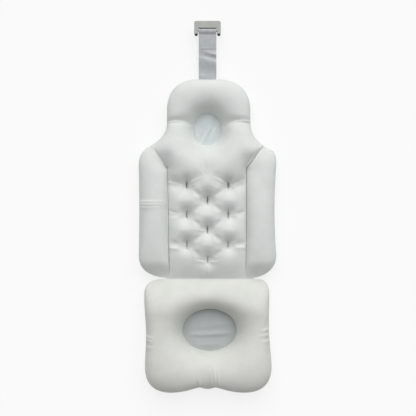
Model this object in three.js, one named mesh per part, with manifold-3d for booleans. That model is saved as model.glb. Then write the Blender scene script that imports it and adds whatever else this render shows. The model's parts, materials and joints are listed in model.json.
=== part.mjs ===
// A bath pillow for a baby's tub: a tufted back cushion with a head well, a seat cushion on a fabric hinge,
// and a webbing strap that ends in a hook for the tub's rim.
// Millimetres. +X is to the right, +Y towards the strap, +Z out of the front. It lies on its back, on Z = 0.
// It is drawn with the hinge line at Y = 0, and then moved as a whole: the origin is under its centre.
import * as THREE from "three";
import { mergeVertices } from "three/addons/utils/BufferGeometryUtils.js";
import Module from "manifold-3d";

const wasm = await Module();
wasm.setup();

// Fabric and fits
const coverThickness = 1.5;
const fitGap = 0.3; // between pieces that touch
const fillGap = 1.2; // slack between a cover and the fibre in it
const fillReach = 12; // the fillings' coarse faces keep clear of the lowest cover within this distance
const fillInset = 19; // from the perimeter seams in to the fillings
const fillWellInset = 16;
const fillHingeInset = 30;
const seamHeight = 17; // the perimeter seams, above the surface that the pillow lies on

// Back cushion
const backLength = 338; // hinge line to crown
const backHalfWidth = 117;
const sideDrawIn = 2;
const lowerCornerRise = 40;
const lowerCornerReach = 24; // how far the corner's curve keeps level past the hinge edge
const hingeHalfLength = 71;
const shoulderHeight = 192; // where the straight sides end
const shoulderTip = [99, 224.5]; // where the shoulder's round turns into the neck
const neckHeight = 264;
const headHalfWidth = 71;
const headSideLength = 21; // straight side of the head above the neck
const crownHalfLength = 18; // straight top of the head
const edgeRound = 26; // from the perimeter seam in to the crest
const rearRound = 24; // from the perimeter seam in to the flat of the back
const centreCrest = 41;
const chestCrest = 52;
const headCrest = 46;

// Side bolsters, on the two seams that run up the back
const bolsterSeamX = 68.5;
const bolsterSeamHeight = 27;
const bolsterCrest = 46;
const bolsterRound = 24;
const centreSeamRound = 20;
const baffleThickness = 1.2;

// Tufts: a staggered pattern of short upright bar tacks
const tuftRows = 7;
const firstTuftHeight = 31;
const tuftRowPitch = 25.2;
const tuftColumnX = 35;
const tuftDrop = 21;
const topTuftDrop = 13;
const tuftSpread = 13;
const tackLength = 10;
const tackRadius = 1.1;
const creaseDepth = 7;
const creaseSpread = 6;

// Wells: oval holes down to a fabric panel
const headWellHeight = 254;
const headWellRadii = [23.5, 27.5];
const headWellRound = 45;
const seatWellDepth = 88.5; // hinge line to the middle of the seat's well
const seatWellRadii = [46, 36];
const seatWellRound = 48;
const panelThickness = 1.2;
const panelMargin = 6; // sewn under the cover's edge

// Seat cushion
const seatLength = 193.5; // hinge line to the lowest point of the lobes
const seatHalfWidth = 108.5;
const seatTopHalfLength = 88; // straight edge at the hinge
const seatTopHalfWidth = 107;
const seatTopCornerDrop = 28;
const seatWaistHalfWidth = 105.5;
const seatWaistDepth = 88;
const seatLobeX = 62;
const seatLowerCornerRise = 50;
const notchX = 13;
const notchRise = 9;
const notchBumpRise = 6;
const seatCrest = 52;
const waistCreaseLength = 14;
const notchCreaseLength = 24;

// Fabric hinge between the cushions
const hingeGap = 2; // room for the front rims when the seat folds up
const hingeTapeThickness = 1.2;
const hingeTapeHalfLength = 66;
const hingeTapeTuck = 7; // sewn into each cushion
const backHingeRun = 56; // the cushions slope down to the hinge over these lengths, so that it can fold
const seatHingeRun = 50;
const rearHingeRun = 24;

// Strap
const strapWidth = 30;
const strapThickness = 1.4;
const strapTuck = 8;
const strapReach = 83; // crown to web bar
const strapTailLength = 35; // folded back behind the strap, from the web bar
const strapLayerGap = 0.5;
const loopTackLength = 22;

// Hook
const barRadius = 2.2;
const barHeight = 19; // web bar above the surface that the pillow lies on
const hookHalfWidth = 22.5;
const armWidth = 6.5;
const armDrop = 5.5; // below the web bar
const crossbarLength = 12.3; // along Y
const hookDepth = 8; // along Z
const hookBevel = 0.8;
const hookCornerRadius = 3.2;
const legHalfWidth = 14; // hidden by the strap
const legThickness = 3.2;
const legLength = 28;
const crownThickness = 4;
const crownRadius = 5;
const tipRadius = 2.6;
const tipLength = 3.4;
const tipStemRadius = 1.2;
const tipStemLength = 4;

// Places that follow from the sizes
const backFoot = hingeGap / 2;
const hingeFrontRim = seamHeight + hingeTapeThickness / 2 + fitGap;
const strapFrontRim = seamHeight + strapThickness / 2 + fitGap;
const wellRim = coverThickness + panelThickness + 2 * fitGap;
const tuftHeights = Array.from({ length: tuftRows }, (_, row) => firstTuftHeight + row * tuftRowPitch);
const seamCorner = tuftHeights[tuftRows - 1] + tackLength / 2; // the seams turn out level with the top tack
const headWellFoot = headWellHeight - headWellRadii[1];
const barY = backLength + strapReach;
const loopRadius = barRadius + fitGap + strapThickness / 2;
const crossbarFoot = barY + loopRadius + strapThickness / 2 + fitGap;
const hookTop = crossbarFoot + crossbarLength;
const hookFloor = barHeight - hookDepth / 2;

// Materials
const cloth = new THREE.MeshStandardMaterial({ color: 0xe6e8e4, roughness: 0.9, metalness: 0 });
const rearCloth = new THREE.MeshStandardMaterial({ color: 0xd9dddb, roughness: 0.9, metalness: 0 });
const fibre = new THREE.MeshStandardMaterial({ color: 0xf2f2ee, roughness: 1, metalness: 0 });
const lining = new THREE.MeshStandardMaterial({ color: 0xc6cccd, roughness: 0.6, metalness: 0 });
const thread = new THREE.MeshStandardMaterial({ color: 0xd2d6d2, roughness: 0.8, metalness: 0 });
const webbing = new THREE.MeshStandardMaterial({ color: 0xb4b8bc, roughness: 0.55, metalness: 0 });
const plastic = new THREE.MeshStandardMaterial({ color: 0xa6a6a3, roughness: 0.5, metalness: 0 });
const rubber = new THREE.MeshStandardMaterial({ color: 0x161616, roughness: 0.8, metalness: 0 });

// Plane geometry

// How far a point is from a line of points.
function distanceToLine(line, x, y) {
  let least = Infinity;
  for (let i = 1; i < line.length; i++) {
    const [ax, ay] = line[i - 1];
    const dx = line[i][0] - ax;
    const dy = line[i][1] - ay;
    const along = THREE.MathUtils.clamp(((x - ax) * dx + (y - ay) * dy) / (dx * dx + dy * dy || 1), 0, 1);
    least = Math.min(least, Math.hypot(x - ax - along * dx, y - ay - along * dy));
  }
  return least;
}

// The X of a line of points, which climbs all the way, at height y.
function lineAt(line, y) {
  const next = line.findIndex((point) => point[1] >= y);
  if (next === 0) return line[0][0];
  if (next < 0) return line[line.length - 1][0];
  const [ax, ay] = line[next - 1];
  const [bx, by] = line[next];
  return by === ay ? bx : ax + ((bx - ax) * (y - ay)) / (by - ay);
}

// Distance outwards from an oval, along the ray from its middle.
function distanceToOval([radiusX, radiusY], x, y) {
  const ratio = Math.hypot(x / radiusX, y / radiusY);
  return ratio > 1 ? Math.hypot(x, y) * (1 - 1 / ratio) : 0;
}

const pathPoints = (path, steps) => path.getPoints(steps).map((p) => [p.x, p.y]);

// n + 1 values from a to b.
const evenly = (a, b, n) => Array.from({ length: n + 1 }, (_, i) => a + ((b - a) * i) / n);

// A round rise from 0 at an edge to 1 at the given run, upright at the edge.
const rise = (distance, run) => Math.sqrt(1 - (1 - Math.min(distance / run, 1)) ** 2);

// The same with a slope at the edge, for the hinge.
const ramp = (distance, run) => Math.sin((Math.PI / 2) * THREE.MathUtils.clamp(distance / run, 0, 1));

const bell = (distance, spread) => Math.exp(-((distance / spread) ** 2));

// The right half of the back's outline, from the hinge up to the crown.
const backOutline = (() => {
  const path = new THREE.Path();
  path.moveTo(hingeHalfLength, backFoot);
  path.bezierCurveTo(
    hingeHalfLength + lowerCornerReach,
    lowerCornerRise * 0.1,
    backHalfWidth,
    lowerCornerRise * 0.3,
    backHalfWidth,
    lowerCornerRise,
  );
  path.quadraticCurveTo(
    backHalfWidth - 2 * sideDrawIn,
    (lowerCornerRise + shoulderHeight) / 2,
    backHalfWidth,
    shoulderHeight,
  );
  const shoulderRun = shoulderTip[1] - shoulderHeight;
  path.bezierCurveTo(
    backHalfWidth,
    shoulderHeight + 0.55 * shoulderRun,
    shoulderTip[0] + 0.6 * (backHalfWidth - shoulderTip[0]),
    shoulderHeight + 0.8 * shoulderRun,
    ...shoulderTip,
  );
  const neckRun = neckHeight - shoulderTip[1];
  path.bezierCurveTo(
    headHalfWidth + 0.46 * (shoulderTip[0] - headHalfWidth),
    shoulderTip[1] + 0.21 * neckRun,
    headHalfWidth,
    shoulderTip[1] + 0.52 * neckRun,
    headHalfWidth,
    neckHeight,
  );
  const headTop = neckHeight + headSideLength;
  path.lineTo(headHalfWidth, headTop);
  path.bezierCurveTo(
    headHalfWidth,
    headTop + 0.62 * (backLength - headTop),
    crownHalfLength + 0.64 * (headHalfWidth - crownHalfLength),
    backLength,
    crownHalfLength,
    backLength,
  );
  return pathPoints(path, 14);
})();
const backEdge = [...backOutline, [0, backLength]];

// The right bolster's seam, up the back and out to the shoulder.
const seamTop = [lineAt(backOutline, headWellFoot), headWellFoot];
const bolsterSeam = [[bolsterSeamX, backFoot], [bolsterSeamX, seamCorner], seamTop];

// The right half of the seat's outline, from the hinge edge down to the notch. Y is negative.
const seatOutline = (() => {
  const path = new THREE.Path();
  const foot = -seatLength;
  path.moveTo(seatTopHalfLength, -backFoot);
  path.bezierCurveTo(
    seatTopHalfLength + 0.68 * (seatTopHalfWidth - seatTopHalfLength),
    -backFoot,
    seatTopHalfWidth,
    -0.36 * seatTopCornerDrop,
    seatTopHalfWidth,
    -seatTopCornerDrop,
  );
  path.bezierCurveTo(
    seatTopHalfWidth,
    -(seatTopCornerDrop + seatWaistDepth) / 2,
    seatWaistHalfWidth,
    -0.75 * seatWaistDepth,
    seatWaistHalfWidth,
    -seatWaistDepth,
  );
  const cornerTop = foot + seatLowerCornerRise;
  path.bezierCurveTo(
    seatWaistHalfWidth,
    (cornerTop - seatWaistDepth) / 2,
    seatHalfWidth,
    cornerTop + 0.25 * (-seatWaistDepth - cornerTop),
    seatHalfWidth,
    cornerTop,
  );
  path.bezierCurveTo(
    seatHalfWidth,
    foot + 0.32 * seatLowerCornerRise,
    seatLobeX + 0.6 * (seatHalfWidth - seatLobeX),
    foot,
    seatLobeX,
    foot,
  );
  path.bezierCurveTo(
    seatLobeX - 0.45 * (seatLobeX - notchX),
    foot,
    notchX + 0.25 * (seatLobeX - notchX),
    foot + 0.75 * notchRise,
    notchX,
    foot + notchRise,
  );
  path.quadraticCurveTo(0.5 * notchX, foot + notchBumpRise, 0, foot + notchBumpRise);
  return pathPoints(path, 12);
})();
const mirrored = (line) => line.map(([x, y]) => [-x, y]);
const seatLoop = [...seatOutline, ...mirrored(seatOutline).reverse(), seatOutline[0]];

// Tufts, and the creases that run between them

const tufts = tuftHeights.flatMap((y, row) => (row % 2 ? [[-tuftColumnX, y], [tuftColumnX, y]] : [[0, y]]));

const backCreases = [
  ...tuftHeights.slice(1).flatMap((y, row) => {
    const below = tuftHeights[row];
    const [xHere, xBelow] = row % 2 ? [0, tuftColumnX] : [tuftColumnX, 0];
    return [[[xHere, y], [xBelow, below]]];
  }),
  ...tuftHeights
    .filter((_, row) => row % 2)
    .map((y) => [[tuftColumnX, y], [bolsterSeamX, y + tackLength / 2]]),
  [[0, seamCorner], [0, headWellFoot]],
  [[headWellRadii[0], headWellHeight + tackLength], [headHalfWidth, neckHeight]],
];

const seatCreases = [
  [[seatWaistHalfWidth, -seatWaistDepth], [seatWaistHalfWidth - waistCreaseLength, -seatWaistDepth]],
  [[notchX, notchRise - seatLength], [notchX, notchRise + notchCreaseLength - seatLength]],
];

const creased = (creases, x, y) =>
  Math.max(...creases.map((line) => creaseDepth * bell(distanceToLine(line, x, y), creaseSpread)));

function tufted(x, y) {
  const drops = tufts.map(([tuftX, tuftY]) => {
    const beyondTack = Math.max(Math.abs(y - tuftY) - tackLength / 2, 0);
    const drop = tuftY === tuftHeights[tuftRows - 1] ? topTuftDrop : tuftDrop;
    return drop * bell(Math.hypot(x - tuftX, beyondTack), tuftSpread);
  });
  return Math.max(...drops);
}

// Heights of the cushions' surfaces

// The height of whichever edges are near: pairs of a distance and that edge's height.
function edgeHeight(pairs) {
  const weights = pairs.map(([distance]) => (distance + 1) ** -4);
  const total = weights.reduce((a, b) => a + b);
  return pairs.reduce((sum, [, height], i) => sum + (height * weights[i]) / total, 0);
}

// A front height, brought down to the hinge.
const slopedToHinge = (full, y, run) =>
  hingeFrontRim + (full - hingeFrontRim) * ramp(Math.abs(y) - backFoot, run);
const backRim = (y) => (y >= backLength ? strapFrontRim : seamHeight + fitGap / 2);

function centreHeight(x, y) {
  const edge = distanceToLine(backEdge, Math.abs(x), y);
  const seam = distanceToLine(bolsterSeam, Math.abs(x), y);
  const well = distanceToOval(headWellRadii, x, y - headWellHeight);
  const toChest = THREE.MathUtils.smoothstep(y, tuftHeights[tuftRows - 2], headWellFoot);
  const toHead = THREE.MathUtils.smoothstep(y, headWellFoot, neckHeight);
  const crest = centreCrest + (chestCrest - centreCrest) * toChest + (headCrest - chestCrest) * toHead;
  const base = edgeHeight([[edge, backRim(y)], [seam, bolsterSeamHeight], [well, wellRim]]);
  const form = rise(edge, edgeRound) * rise(seam, centreSeamRound) * rise(well, headWellRound);
  const drawn = Math.max(tufted(x, y), creased(backCreases, Math.abs(x), y));
  const full = base + (crest - base - drawn) * form;
  return slopedToHinge(full, y, backHingeRun);
}

function bolsterHeight(x, y) {
  const edge = distanceToLine(backEdge, Math.abs(x), y);
  const seam = distanceToLine(bolsterSeam, Math.abs(x), y);
  const base = edgeHeight([[edge, backRim(y)], [seam, bolsterSeamHeight]]);
  const full = base + (bolsterCrest - base) * rise(edge, edgeRound) * rise(seam, bolsterRound);
  return slopedToHinge(full, y, backHingeRun);
}

function seatHeight(x, y) {
  const edge = distanceToLine(seatOutline, Math.abs(x), y);
  const well = distanceToOval(seatWellRadii, x, y + seatWellDepth);
  const base = edgeHeight([[edge, seamHeight + fitGap / 2], [well, wellRim]]);
  const drawn = creased(seatCreases, Math.abs(x), y);
  const full = base + (seatCrest - base - drawn) * rise(edge, edgeRound) * rise(well, seatWellRound);
  return slopedToHinge(full, y, seatHingeRun);
}

// The rear of either cushion: flat at 0, and rounded up to the seams.
function rearHeight(outline, x, y) {
  const edge = distanceToLine(outline, Math.abs(x), y);
  const atHinge = Math.abs(y) < backFoot + fitGap;
  const atStrap = y >= backLength;
  const tuckHalf = atHinge ? hingeFrontRim - seamHeight : atStrap ? strapFrontRim - seamHeight : fitGap / 2;
  const round = 1 - rise(edge, rearRound);
  const hinge = 1 - ramp(Math.abs(y) - backFoot, rearHingeRun);
  return (seamHeight - tuckHalf) * Math.max(round, hinge);
}
const backRearHeight = (x, y) => rearHeight(backEdge, x, y);
const seatRearHeight = (x, y) => rearHeight(seatOutline, x, y);

// Lowest or highest of a surface around a point, so that a coarse solid stays clear of it.
const ringAround = (x, y, reach) =>
  evenly(0, 1, 16).flatMap((turn) =>
    evenly(0, 1, 4).map((share) => [
      x + share * reach * Math.cos(2 * Math.PI * turn),
      y + share * reach * Math.sin(2 * Math.PI * turn),
    ]),
  );
const lowest = (height, x, y, reach) => Math.min(...ringAround(x, y, reach).map((p) => height(...p)));
const highest = (height, x, y, reach) => Math.max(...ringAround(x, y, reach).map((p) => height(...p)));

// Surfaces and solids

// A geometry with its shared vertices merged and no collapsed triangles.
function welded(geometry) {
  const bare = geometry.clone();
  bare.deleteAttribute("normal");
  bare.deleteAttribute("uv");
  const merged = mergeVertices(bare, 1e-3);
  const index = merged.index.array;
  const kept = [];
  for (let i = 0; i < index.length; i += 3) {
    const [a, b, c] = index.subarray(i, i + 3);
    if (a !== b && b !== c && a !== c) kept.push(a, b, c);
  }
  return merged.setIndex(kept);
}

function surfaceOf(points, triangles) {
  const geometry = new THREE.BufferGeometry();
  geometry.setAttribute("position", new THREE.Float32BufferAttribute(points.flat(), 3));
  geometry.setIndex(triangles.flat());
  return welded(geometry);
}

// Rows of points, each from an inner end out to an outer one. sides holds 1 for the right, -1 for the left.
function rowSurface({ rows, shares, height, sides, facing = 1 }) {
  const points = [];
  const triangles = [];
  for (const side of sides) {
    const start = points.length;
    for (const [inner, outer] of rows)
      for (const share of shares) {
        const x = side * (inner[0] + (outer[0] - inner[0]) * share);
        const y = inner[1] + (outer[1] - inner[1]) * share;
        points.push([x, y, height(x, y)]);
      }
    for (let i = 0; i + 1 < rows.length; i++)
      for (let j = 0; j + 1 < shares.length; j++) {
        const a = start + i * shares.length + j;
        const b = a + 1;
        const c = b + shares.length;
        const d = a + shares.length;
        triangles.push(...(side * facing > 0 ? [[a, b, c], [a, c, d]] : [[a, c, b], [a, d, c]]));
      }
  }
  return surfaceOf(points, triangles);
}

// Rings of points from an outer loop in to an inner one, about a middle.
function ringSurface({ middle, turns, outer, inner, shares, height, facing = 1 }) {
  const points = [];
  const triangles = [];
  for (const share of shares)
    for (let k = 0; k < turns; k++) {
      const angle = (2 * Math.PI * k) / turns;
      const radius = outer(angle) + (inner(angle) - outer(angle)) * share;
      const x = middle[0] + radius * Math.cos(angle);
      const y = middle[1] + radius * Math.sin(angle);
      points.push([x, y, height(x, y)]);
    }
  for (let i = 0; i + 1 < shares.length; i++)
    for (let k = 0; k < turns; k++) {
      const a = i * turns + k;
      const b = i * turns + ((k + 1) % turns);
      const c = b + turns;
      const d = a + turns;
      triangles.push(...(facing > 0 ? [[a, b, c], [a, c, d]] : [[a, c, b], [a, d, c]]));
    }
  return surfaceOf(points, triangles);
}

// A closed solid between an open surface and its partner. partner(point, normal, inward) gives each vertex's
// other end, where inward is set on the surface's border only, and points level and away from it.
function closedSurface(surface, partner) {
  surface.computeVertexNormals();
  const index = [...surface.index.array];
  const position = surface.attributes.position;
  const count = position.count;
  const directed = new Set();
  for (let i = 0; i < index.length; i += 3)
    for (let k = 0; k < 3; k++) directed.add(index[i + k] + "," + index[i + ((k + 1) % 3)]);
  const edges = [...directed].map((edge) => edge.split(",").map(Number));
  const borders = edges.filter(([a, b]) => !directed.has(b + "," + a));
  const pointAt = (v) => new THREE.Vector3().fromBufferAttribute(position, v);
  const normalAt = (v) => new THREE.Vector3().fromBufferAttribute(surface.attributes.normal, v);
  const facing = Math.sign(Array.from({ length: count }, (_, v) => normalAt(v).z).reduce((a, b) => a + b));
  const inward = new Map();
  for (const [a, b] of borders) {
    const step = pointAt(b).sub(pointAt(a)).setZ(0).normalize();
    const across = new THREE.Vector3(-step.y, step.x, 0).multiplyScalar(facing);
    for (const v of [a, b]) inward.set(v, across.clone().add(inward.get(v) ?? new THREE.Vector3()));
  }
  const points = [...position.array];
  for (let v = 0; v < count; v++)
    points.push(...partner(pointAt(v), normalAt(v), inward.get(v)?.normalize()).toArray());
  const triangles = [...index];
  for (let i = 0; i < index.length; i += 3)
    triangles.push(index[i] + count, index[i + 2] + count, index[i + 1] + count);
  for (const [a, b] of borders) triangles.push(b, a, a + count, b, a + count, b + count);
  const closed = new THREE.BufferGeometry();
  closed.setAttribute("position", new THREE.Float32BufferAttribute(points, 3));
  return closed.setIndex(triangles);
}

// A cover: its inner face lies one thickness inside, and its rims are level.
const coverOf = (surface) =>
  closedSurface(surface, (point, normal, inward) =>
    point.addScaledVector(inward ?? normal.negate(), coverThickness),
  );

// A filling that stands on the inside of the rear cover.
const fillOf = (surface, floor) => closedSurface(surface, (point) => point.setZ(floor(point.x, point.y)));

const fillRoof = (height, reach) => (x, y) => lowest(height, x, y, reach) - coverThickness - fillGap;
const fillFloor = (height, reach) => (x, y) => {
  const rear = highest(height, x, y, reach);
  return rear + coverThickness + (rear > 0 ? fillGap : fitGap);
};

// Joins and cuts

function solidOf(geometry) {
  const merged = welded(geometry);
  const triVerts = new Uint32Array(merged.index.array);
  const vertProperties = new Float32Array(merged.attributes.position.array);
  return new wasm.Manifold(new wasm.Mesh({ numProp: 3, vertProperties, triVerts }));
}

function geometryOf(solid) {
  const mesh = solid.getMesh();
  const geometry = new THREE.BufferGeometry();
  geometry.setAttribute("position", new THREE.BufferAttribute(mesh.vertProperties.slice(), 3));
  return geometry.setIndex(new THREE.BufferAttribute(mesh.triVerts.slice(), 1));
}

// A side view, drawn as Y and Z, made solid across X.
function acrossX(shape, width) {
  const geometry = new THREE.ExtrudeGeometry(shape, { depth: width, bevelEnabled: false, curveSegments: 8 });
  const turn = new THREE.Matrix4().makeBasis(
    new THREE.Vector3(0, 1, 0),
    new THREE.Vector3(0, 0, 1),
    new THREE.Vector3(1, 0, 0),
  );
  return geometry.applyMatrix4(turn).translate(-width / 2, 0, 0);
}

// A turned profile about Y, pointing down -Y from the origin.
function turnedDown(profile, sides) {
  const points = profile.map(([radius, along]) => new THREE.Vector2(radius, -along));
  return new THREE.LatheGeometry(points.reverse(), sides);
}

const pillow = new THREE.Group();

function add(name, geometry, material) {
  const mesh = new THREE.Mesh(geometry, material);
  mesh.name = name;
  pillow.add(mesh);
  return mesh;
}

// Back cushion: covers

const seamAt = (y) => lineAt(bolsterSeam, y);
const outlineAt = (y) => lineAt(backOutline, y);

const tackEnds = tuftHeights.flatMap((y, row) => [
  y - tackLength / 2,
  y + tackLength / 2,
  ...(row + 1 < tuftRows ? [y + tuftRowPitch / 2] : []),
]);
const torsoHeights = [
  ...evenly(Math.sqrt(backFoot), Math.sqrt(tackEnds[0]), 3).map((root) => root * root),
  ...tackEnds.slice(1),
  ...evenly(seamCorner, headWellFoot, 3).slice(1),
];

// Rows over the head fan out round its well: their outer ends are spread along the neck, side and crown.
const headOutline = [seamTop, ...backOutline.filter(([, y]) => y > headWellFoot)];
const wellRowShare = 0.68; // of that length, for the rows that start on the well

function alongLine(line, share) {
  const steps = line.slice(1).map(([x, y], i) => Math.hypot(x - line[i][0], y - line[i][1]));
  let left = share * steps.reduce((a, b) => a + b);
  let i = 0;
  while (i + 1 < steps.length && left > steps[i]) left -= steps[i++];
  const part = Math.min(left / steps[i], 1);
  return [0, 1].map((axis) => line[i][axis] + (line[i + 1][axis] - line[i][axis]) * part);
}

function headRows(wellSteps, crownSteps, wellMargin, edgeMargin) {
  const setIn = ([inner, outer]) => {
    const length = Math.hypot(inner[0] - outer[0], inner[1] - outer[1]);
    const [x, y] = outer.map((v, axis) => v + ((inner[axis] - v) * edgeMargin) / length);
    return [inner, [x, Math.min(y, backLength - edgeMargin)]];
  };
  const [radiusX, radiusY] = headWellRadii.map((radius) => radius + wellMargin);
  const round = evenly(0, 1, wellSteps).map((t) => [
    [radiusX * Math.sin(Math.PI * t), headWellHeight - radiusY * Math.cos(Math.PI * t)],
    alongLine(headOutline, wellRowShare * t),
  ]);
  const above = evenly(0, 1, crownSteps).map((t) => [
    [0, headWellHeight + radiusY + (backLength - edgeMargin - headWellHeight - radiusY) * t],
    alongLine(headOutline, wellRowShare + (1 - wellRowShare) * t),
  ]);
  return [...round, ...above.slice(1)].map(setIn);
}

const centreShares = [0, 0.12, 0.3, tuftColumnX / bolsterSeamX, 0.72, 0.92, 1];
const centreRows = [
  ...torsoHeights.slice(0, -1).map((y) => [[0, y], [seamAt(y) - fitGap / 2, y]]),
  ...headRows(9, 6, 0, 0),
];
add(
  "back_front_cover",
  coverOf(rowSurface({ rows: centreRows, shares: centreShares, height: centreHeight, sides: [1, -1] })),
  cloth,
);

const bolsterShares = [0, 0.1, 0.3, 0.55, 0.8, 0.94, 1];
const bolsterRows = [
  ...torsoHeights.slice(0, -1).map((y) => [[seamAt(y) + fitGap / 2, y], [outlineAt(y), y]]),
  [seamTop, seamTop],
];
const bolsterSides = { right: 1, left: -1 };
for (const [sideName, side] of Object.entries(bolsterSides))
  add(
    sideName + "_bolster_cover",
    coverOf(rowSurface({ rows: bolsterRows, shares: bolsterShares, height: bolsterHeight, sides: [side] })),
    cloth,
  );

const rearHeights = [
  ...evenly(backFoot, backFoot + rearHingeRun, 4),
  ...evenly(backFoot + rearHingeRun, backLength - rearRound, 9).slice(1),
  ...evenly(0, 1, 5).slice(1).map((t) => backLength - rearRound * (1 - ramp(t, 1))),
];
add(
  "back_rear_cover",
  coverOf(
    rowSurface({
      rows: rearHeights.map((y) => [[0, y], [outlineAt(y), y]]),
      shares: [0, 0.4, 0.7, 0.84, 0.93, 0.98, 1],
      height: backRearHeight,
      sides: [1, -1],
      facing: -1,
    }),
  ),
  rearCloth,
);

// Back cushion: fibre fillings and the baffles between them

const wallInset = baffleThickness + fillGap;
const fillHeights = evenly(fillHingeInset, headWellFoot - fillWellInset, 13);
const fillRows = [
  ...fillHeights.slice(0, -1).map((y) => [[0, y], [seamAt(y - fillReach) - wallInset, y]]),
  ...headRows(6, 2, fillWellInset, fillInset),
];
add(
  "back_centre_fill",
  fillOf(
    rowSurface({
      rows: fillRows,
      shares: evenly(0, 1, 4),
      height: fillRoof(centreHeight, fillReach),
      sides: [1, -1],
    }),
    fillFloor(backRearHeight, fillReach),
  ),
  fibre,
);

const bolsterFillRows = evenly(fillHingeInset, shoulderHeight, 10).map((y) => [
  [seamAt(y) + wallInset, y],
  [outlineAt(y) - fillInset, y],
]);
for (const [sideName, side] of Object.entries(bolsterSides)) {
  add(
    sideName + "_bolster_fill",
    fillOf(
      rowSurface({
        rows: bolsterFillRows,
        shares: [0, 0.35, 0.7, 1],
        height: fillRoof(bolsterHeight, fillReach),
        sides: [side],
      }),
      fillFloor(backRearHeight, fillReach),
    ),
    fibre,
  );
  const baffleFoot = coverThickness + fitGap;
  const baffleHeight = bolsterSeamHeight - fitGap - baffleFoot;
  const baffleStart = backFoot + backHingeRun; // where the seam has climbed to its height
  const baffle = new THREE.BoxGeometry(baffleThickness, seamCorner - baffleStart, baffleHeight);
  add(sideName + "_baffle", baffle, lining).position.set(
    side * bolsterSeamX,
    (seamCorner + baffleStart) / 2,
    baffleFoot + baffleHeight / 2,
  );
}

// Bar tacks, each in the groove at the bottom of its tuft

function grooveAngle(x, y) {
  const foot = centreHeight(x, y);
  const step = centreShares[1] * bolsterSeamX;
  const steepest = Math.max(centreHeight(x + step, y) - foot, centreHeight(x - step, y) - foot);
  return Math.atan2(steepest, step);
}

tufts.forEach(([x, y], i) => {
  const round = new THREE.Path().absarc(0, tackRadius, tackRadius, -Math.PI / 2, 0);
  const profile = pathPoints(round, 1).map(([radius, along]) => new THREE.Vector2(radius, along));
  const ends = profile.map((p) => new THREE.Vector2(p.x, tackLength - p.y)).reverse();
  const tack = new THREE.LatheGeometry([...profile, ...ends], 8).translate(0, -tackLength / 2, 0);
  const lift = (tackRadius + fitGap) / Math.cos(grooveAngle(x, y));
  const name = "tuft_tack_" + String(i + 1).padStart(2, "0");
  const floor = Math.max(...[-1, 0, 1].map((end) => centreHeight(x, y + (end * tackLength) / 2)));
  add(name, tack, thread).position.set(x, y, floor + lift);
});

// Well panels, on the rear covers and under the edges of the front covers

function wellPanel(name, wellRadii, middleY) {
  const [radiusX, radiusY] = wellRadii.map((radius) => radius + panelMargin);
  const oval = new THREE.Shape().absellipse(0, 0, radiusX, radiusY, 0, 2 * Math.PI);
  const options = { depth: panelThickness, bevelEnabled: false, curveSegments: 20 };
  const panel = new THREE.ExtrudeGeometry(oval, options);
  add(name, panel, lining).position.set(0, middleY, coverThickness + fitGap);
}
wellPanel("head_well_panel", headWellRadii, headWellHeight);
wellPanel("seat_well_panel", seatWellRadii, -seatWellDepth);

// Seat cushion

const seatMiddle = [0, -seatWellDepth];

// How far the seat's outline lies from the middle of its well, at an angle from +X.
function seatRadius(angle) {
  const [dirX, dirY] = [Math.cos(angle), Math.sin(angle)];
  let radius = 0;
  for (let i = 1; i < seatLoop.length; i++) {
    const [ax, ay] = seatLoop[i - 1].map((v, axis) => v - seatMiddle[axis]);
    const [bx, by] = seatLoop[i].map((v, axis) => v - seatMiddle[axis]);
    const across = dirX * (by - ay) - dirY * (bx - ax);
    const along = (dirY * ax - dirX * ay) / across;
    if (!(along >= 0 && along <= 1)) continue;
    radius = Math.max(radius, dirX * (ax + along * (bx - ax)) + dirY * (ay + along * (by - ay)));
  }
  return radius;
}

// The same for the filling, which stops short of the seams and the hinge.
function seatFillRadius(angle) {
  const toHinge = (seatWellDepth - fillHingeInset) / Math.max(Math.sin(angle), Number.EPSILON);
  return Math.min(seatRadius(angle) - fillInset, toHinge);
}
const ovalRadius = ([radiusX, radiusY], angle) =>
  1 / Math.hypot(Math.cos(angle) / radiusX, Math.sin(angle) / radiusY);

add(
  "seat_top_cover",
  coverOf(
    ringSurface({
      middle: seatMiddle,
      turns: 56,
      outer: seatRadius,
      inner: (angle) => ovalRadius(seatWellRadii, angle),
      shares: [0, 0.05, 0.15, 0.3, 0.46, 0.62, 0.78, 0.92, 1],
      height: seatHeight,
    }),
  ),
  cloth,
);

add(
  "seat_bottom_cover",
  coverOf(
    ringSurface({
      middle: seatMiddle,
      turns: 48,
      outer: seatRadius,
      inner: () => 0,
      shares: [0, 0.03, 0.09, 0.18, 0.32, 1],
      height: seatRearHeight,
      facing: -1,
    }),
  ),
  rearCloth,
);

add(
  "seat_fill",
  fillOf(
    ringSurface({
      middle: seatMiddle,
      turns: 32,
      outer: seatFillRadius,
      inner: (angle) => ovalRadius(seatWellRadii, angle) + fillWellInset,
      shares: [0, 0.25, 0.5, 0.75, 1],
      height: fillRoof(seatHeight, fillReach),
    }),
    fillFloor(seatRearHeight, fillReach),
  ),
  fibre,
);

// Fabric hinge

const hingeTapeWidth = hingeGap + 2 * hingeTapeTuck;
const hingeTape = new THREE.BoxGeometry(2 * hingeTapeHalfLength, hingeTapeWidth, hingeTapeThickness);
add("hinge_tape", hingeTape, rearCloth).position.z = seamHeight;

// Strap: the end that is sewn into the crown's seam, and the free strap with its loop round the web bar

const anchor = new THREE.BoxGeometry(strapWidth, strapTuck, strapThickness);
add("strap_anchor", anchor, webbing).position.set(0, backLength - strapTuck / 2, seamHeight);

// The free strap starts in a round edge, so that it can turn against the sewn end.
const strapStart = backLength + fitGap + strapThickness / 2;
const strapTop = barHeight + loopRadius;
const plane = (y, z) => new THREE.Vector2(y, z);

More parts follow.
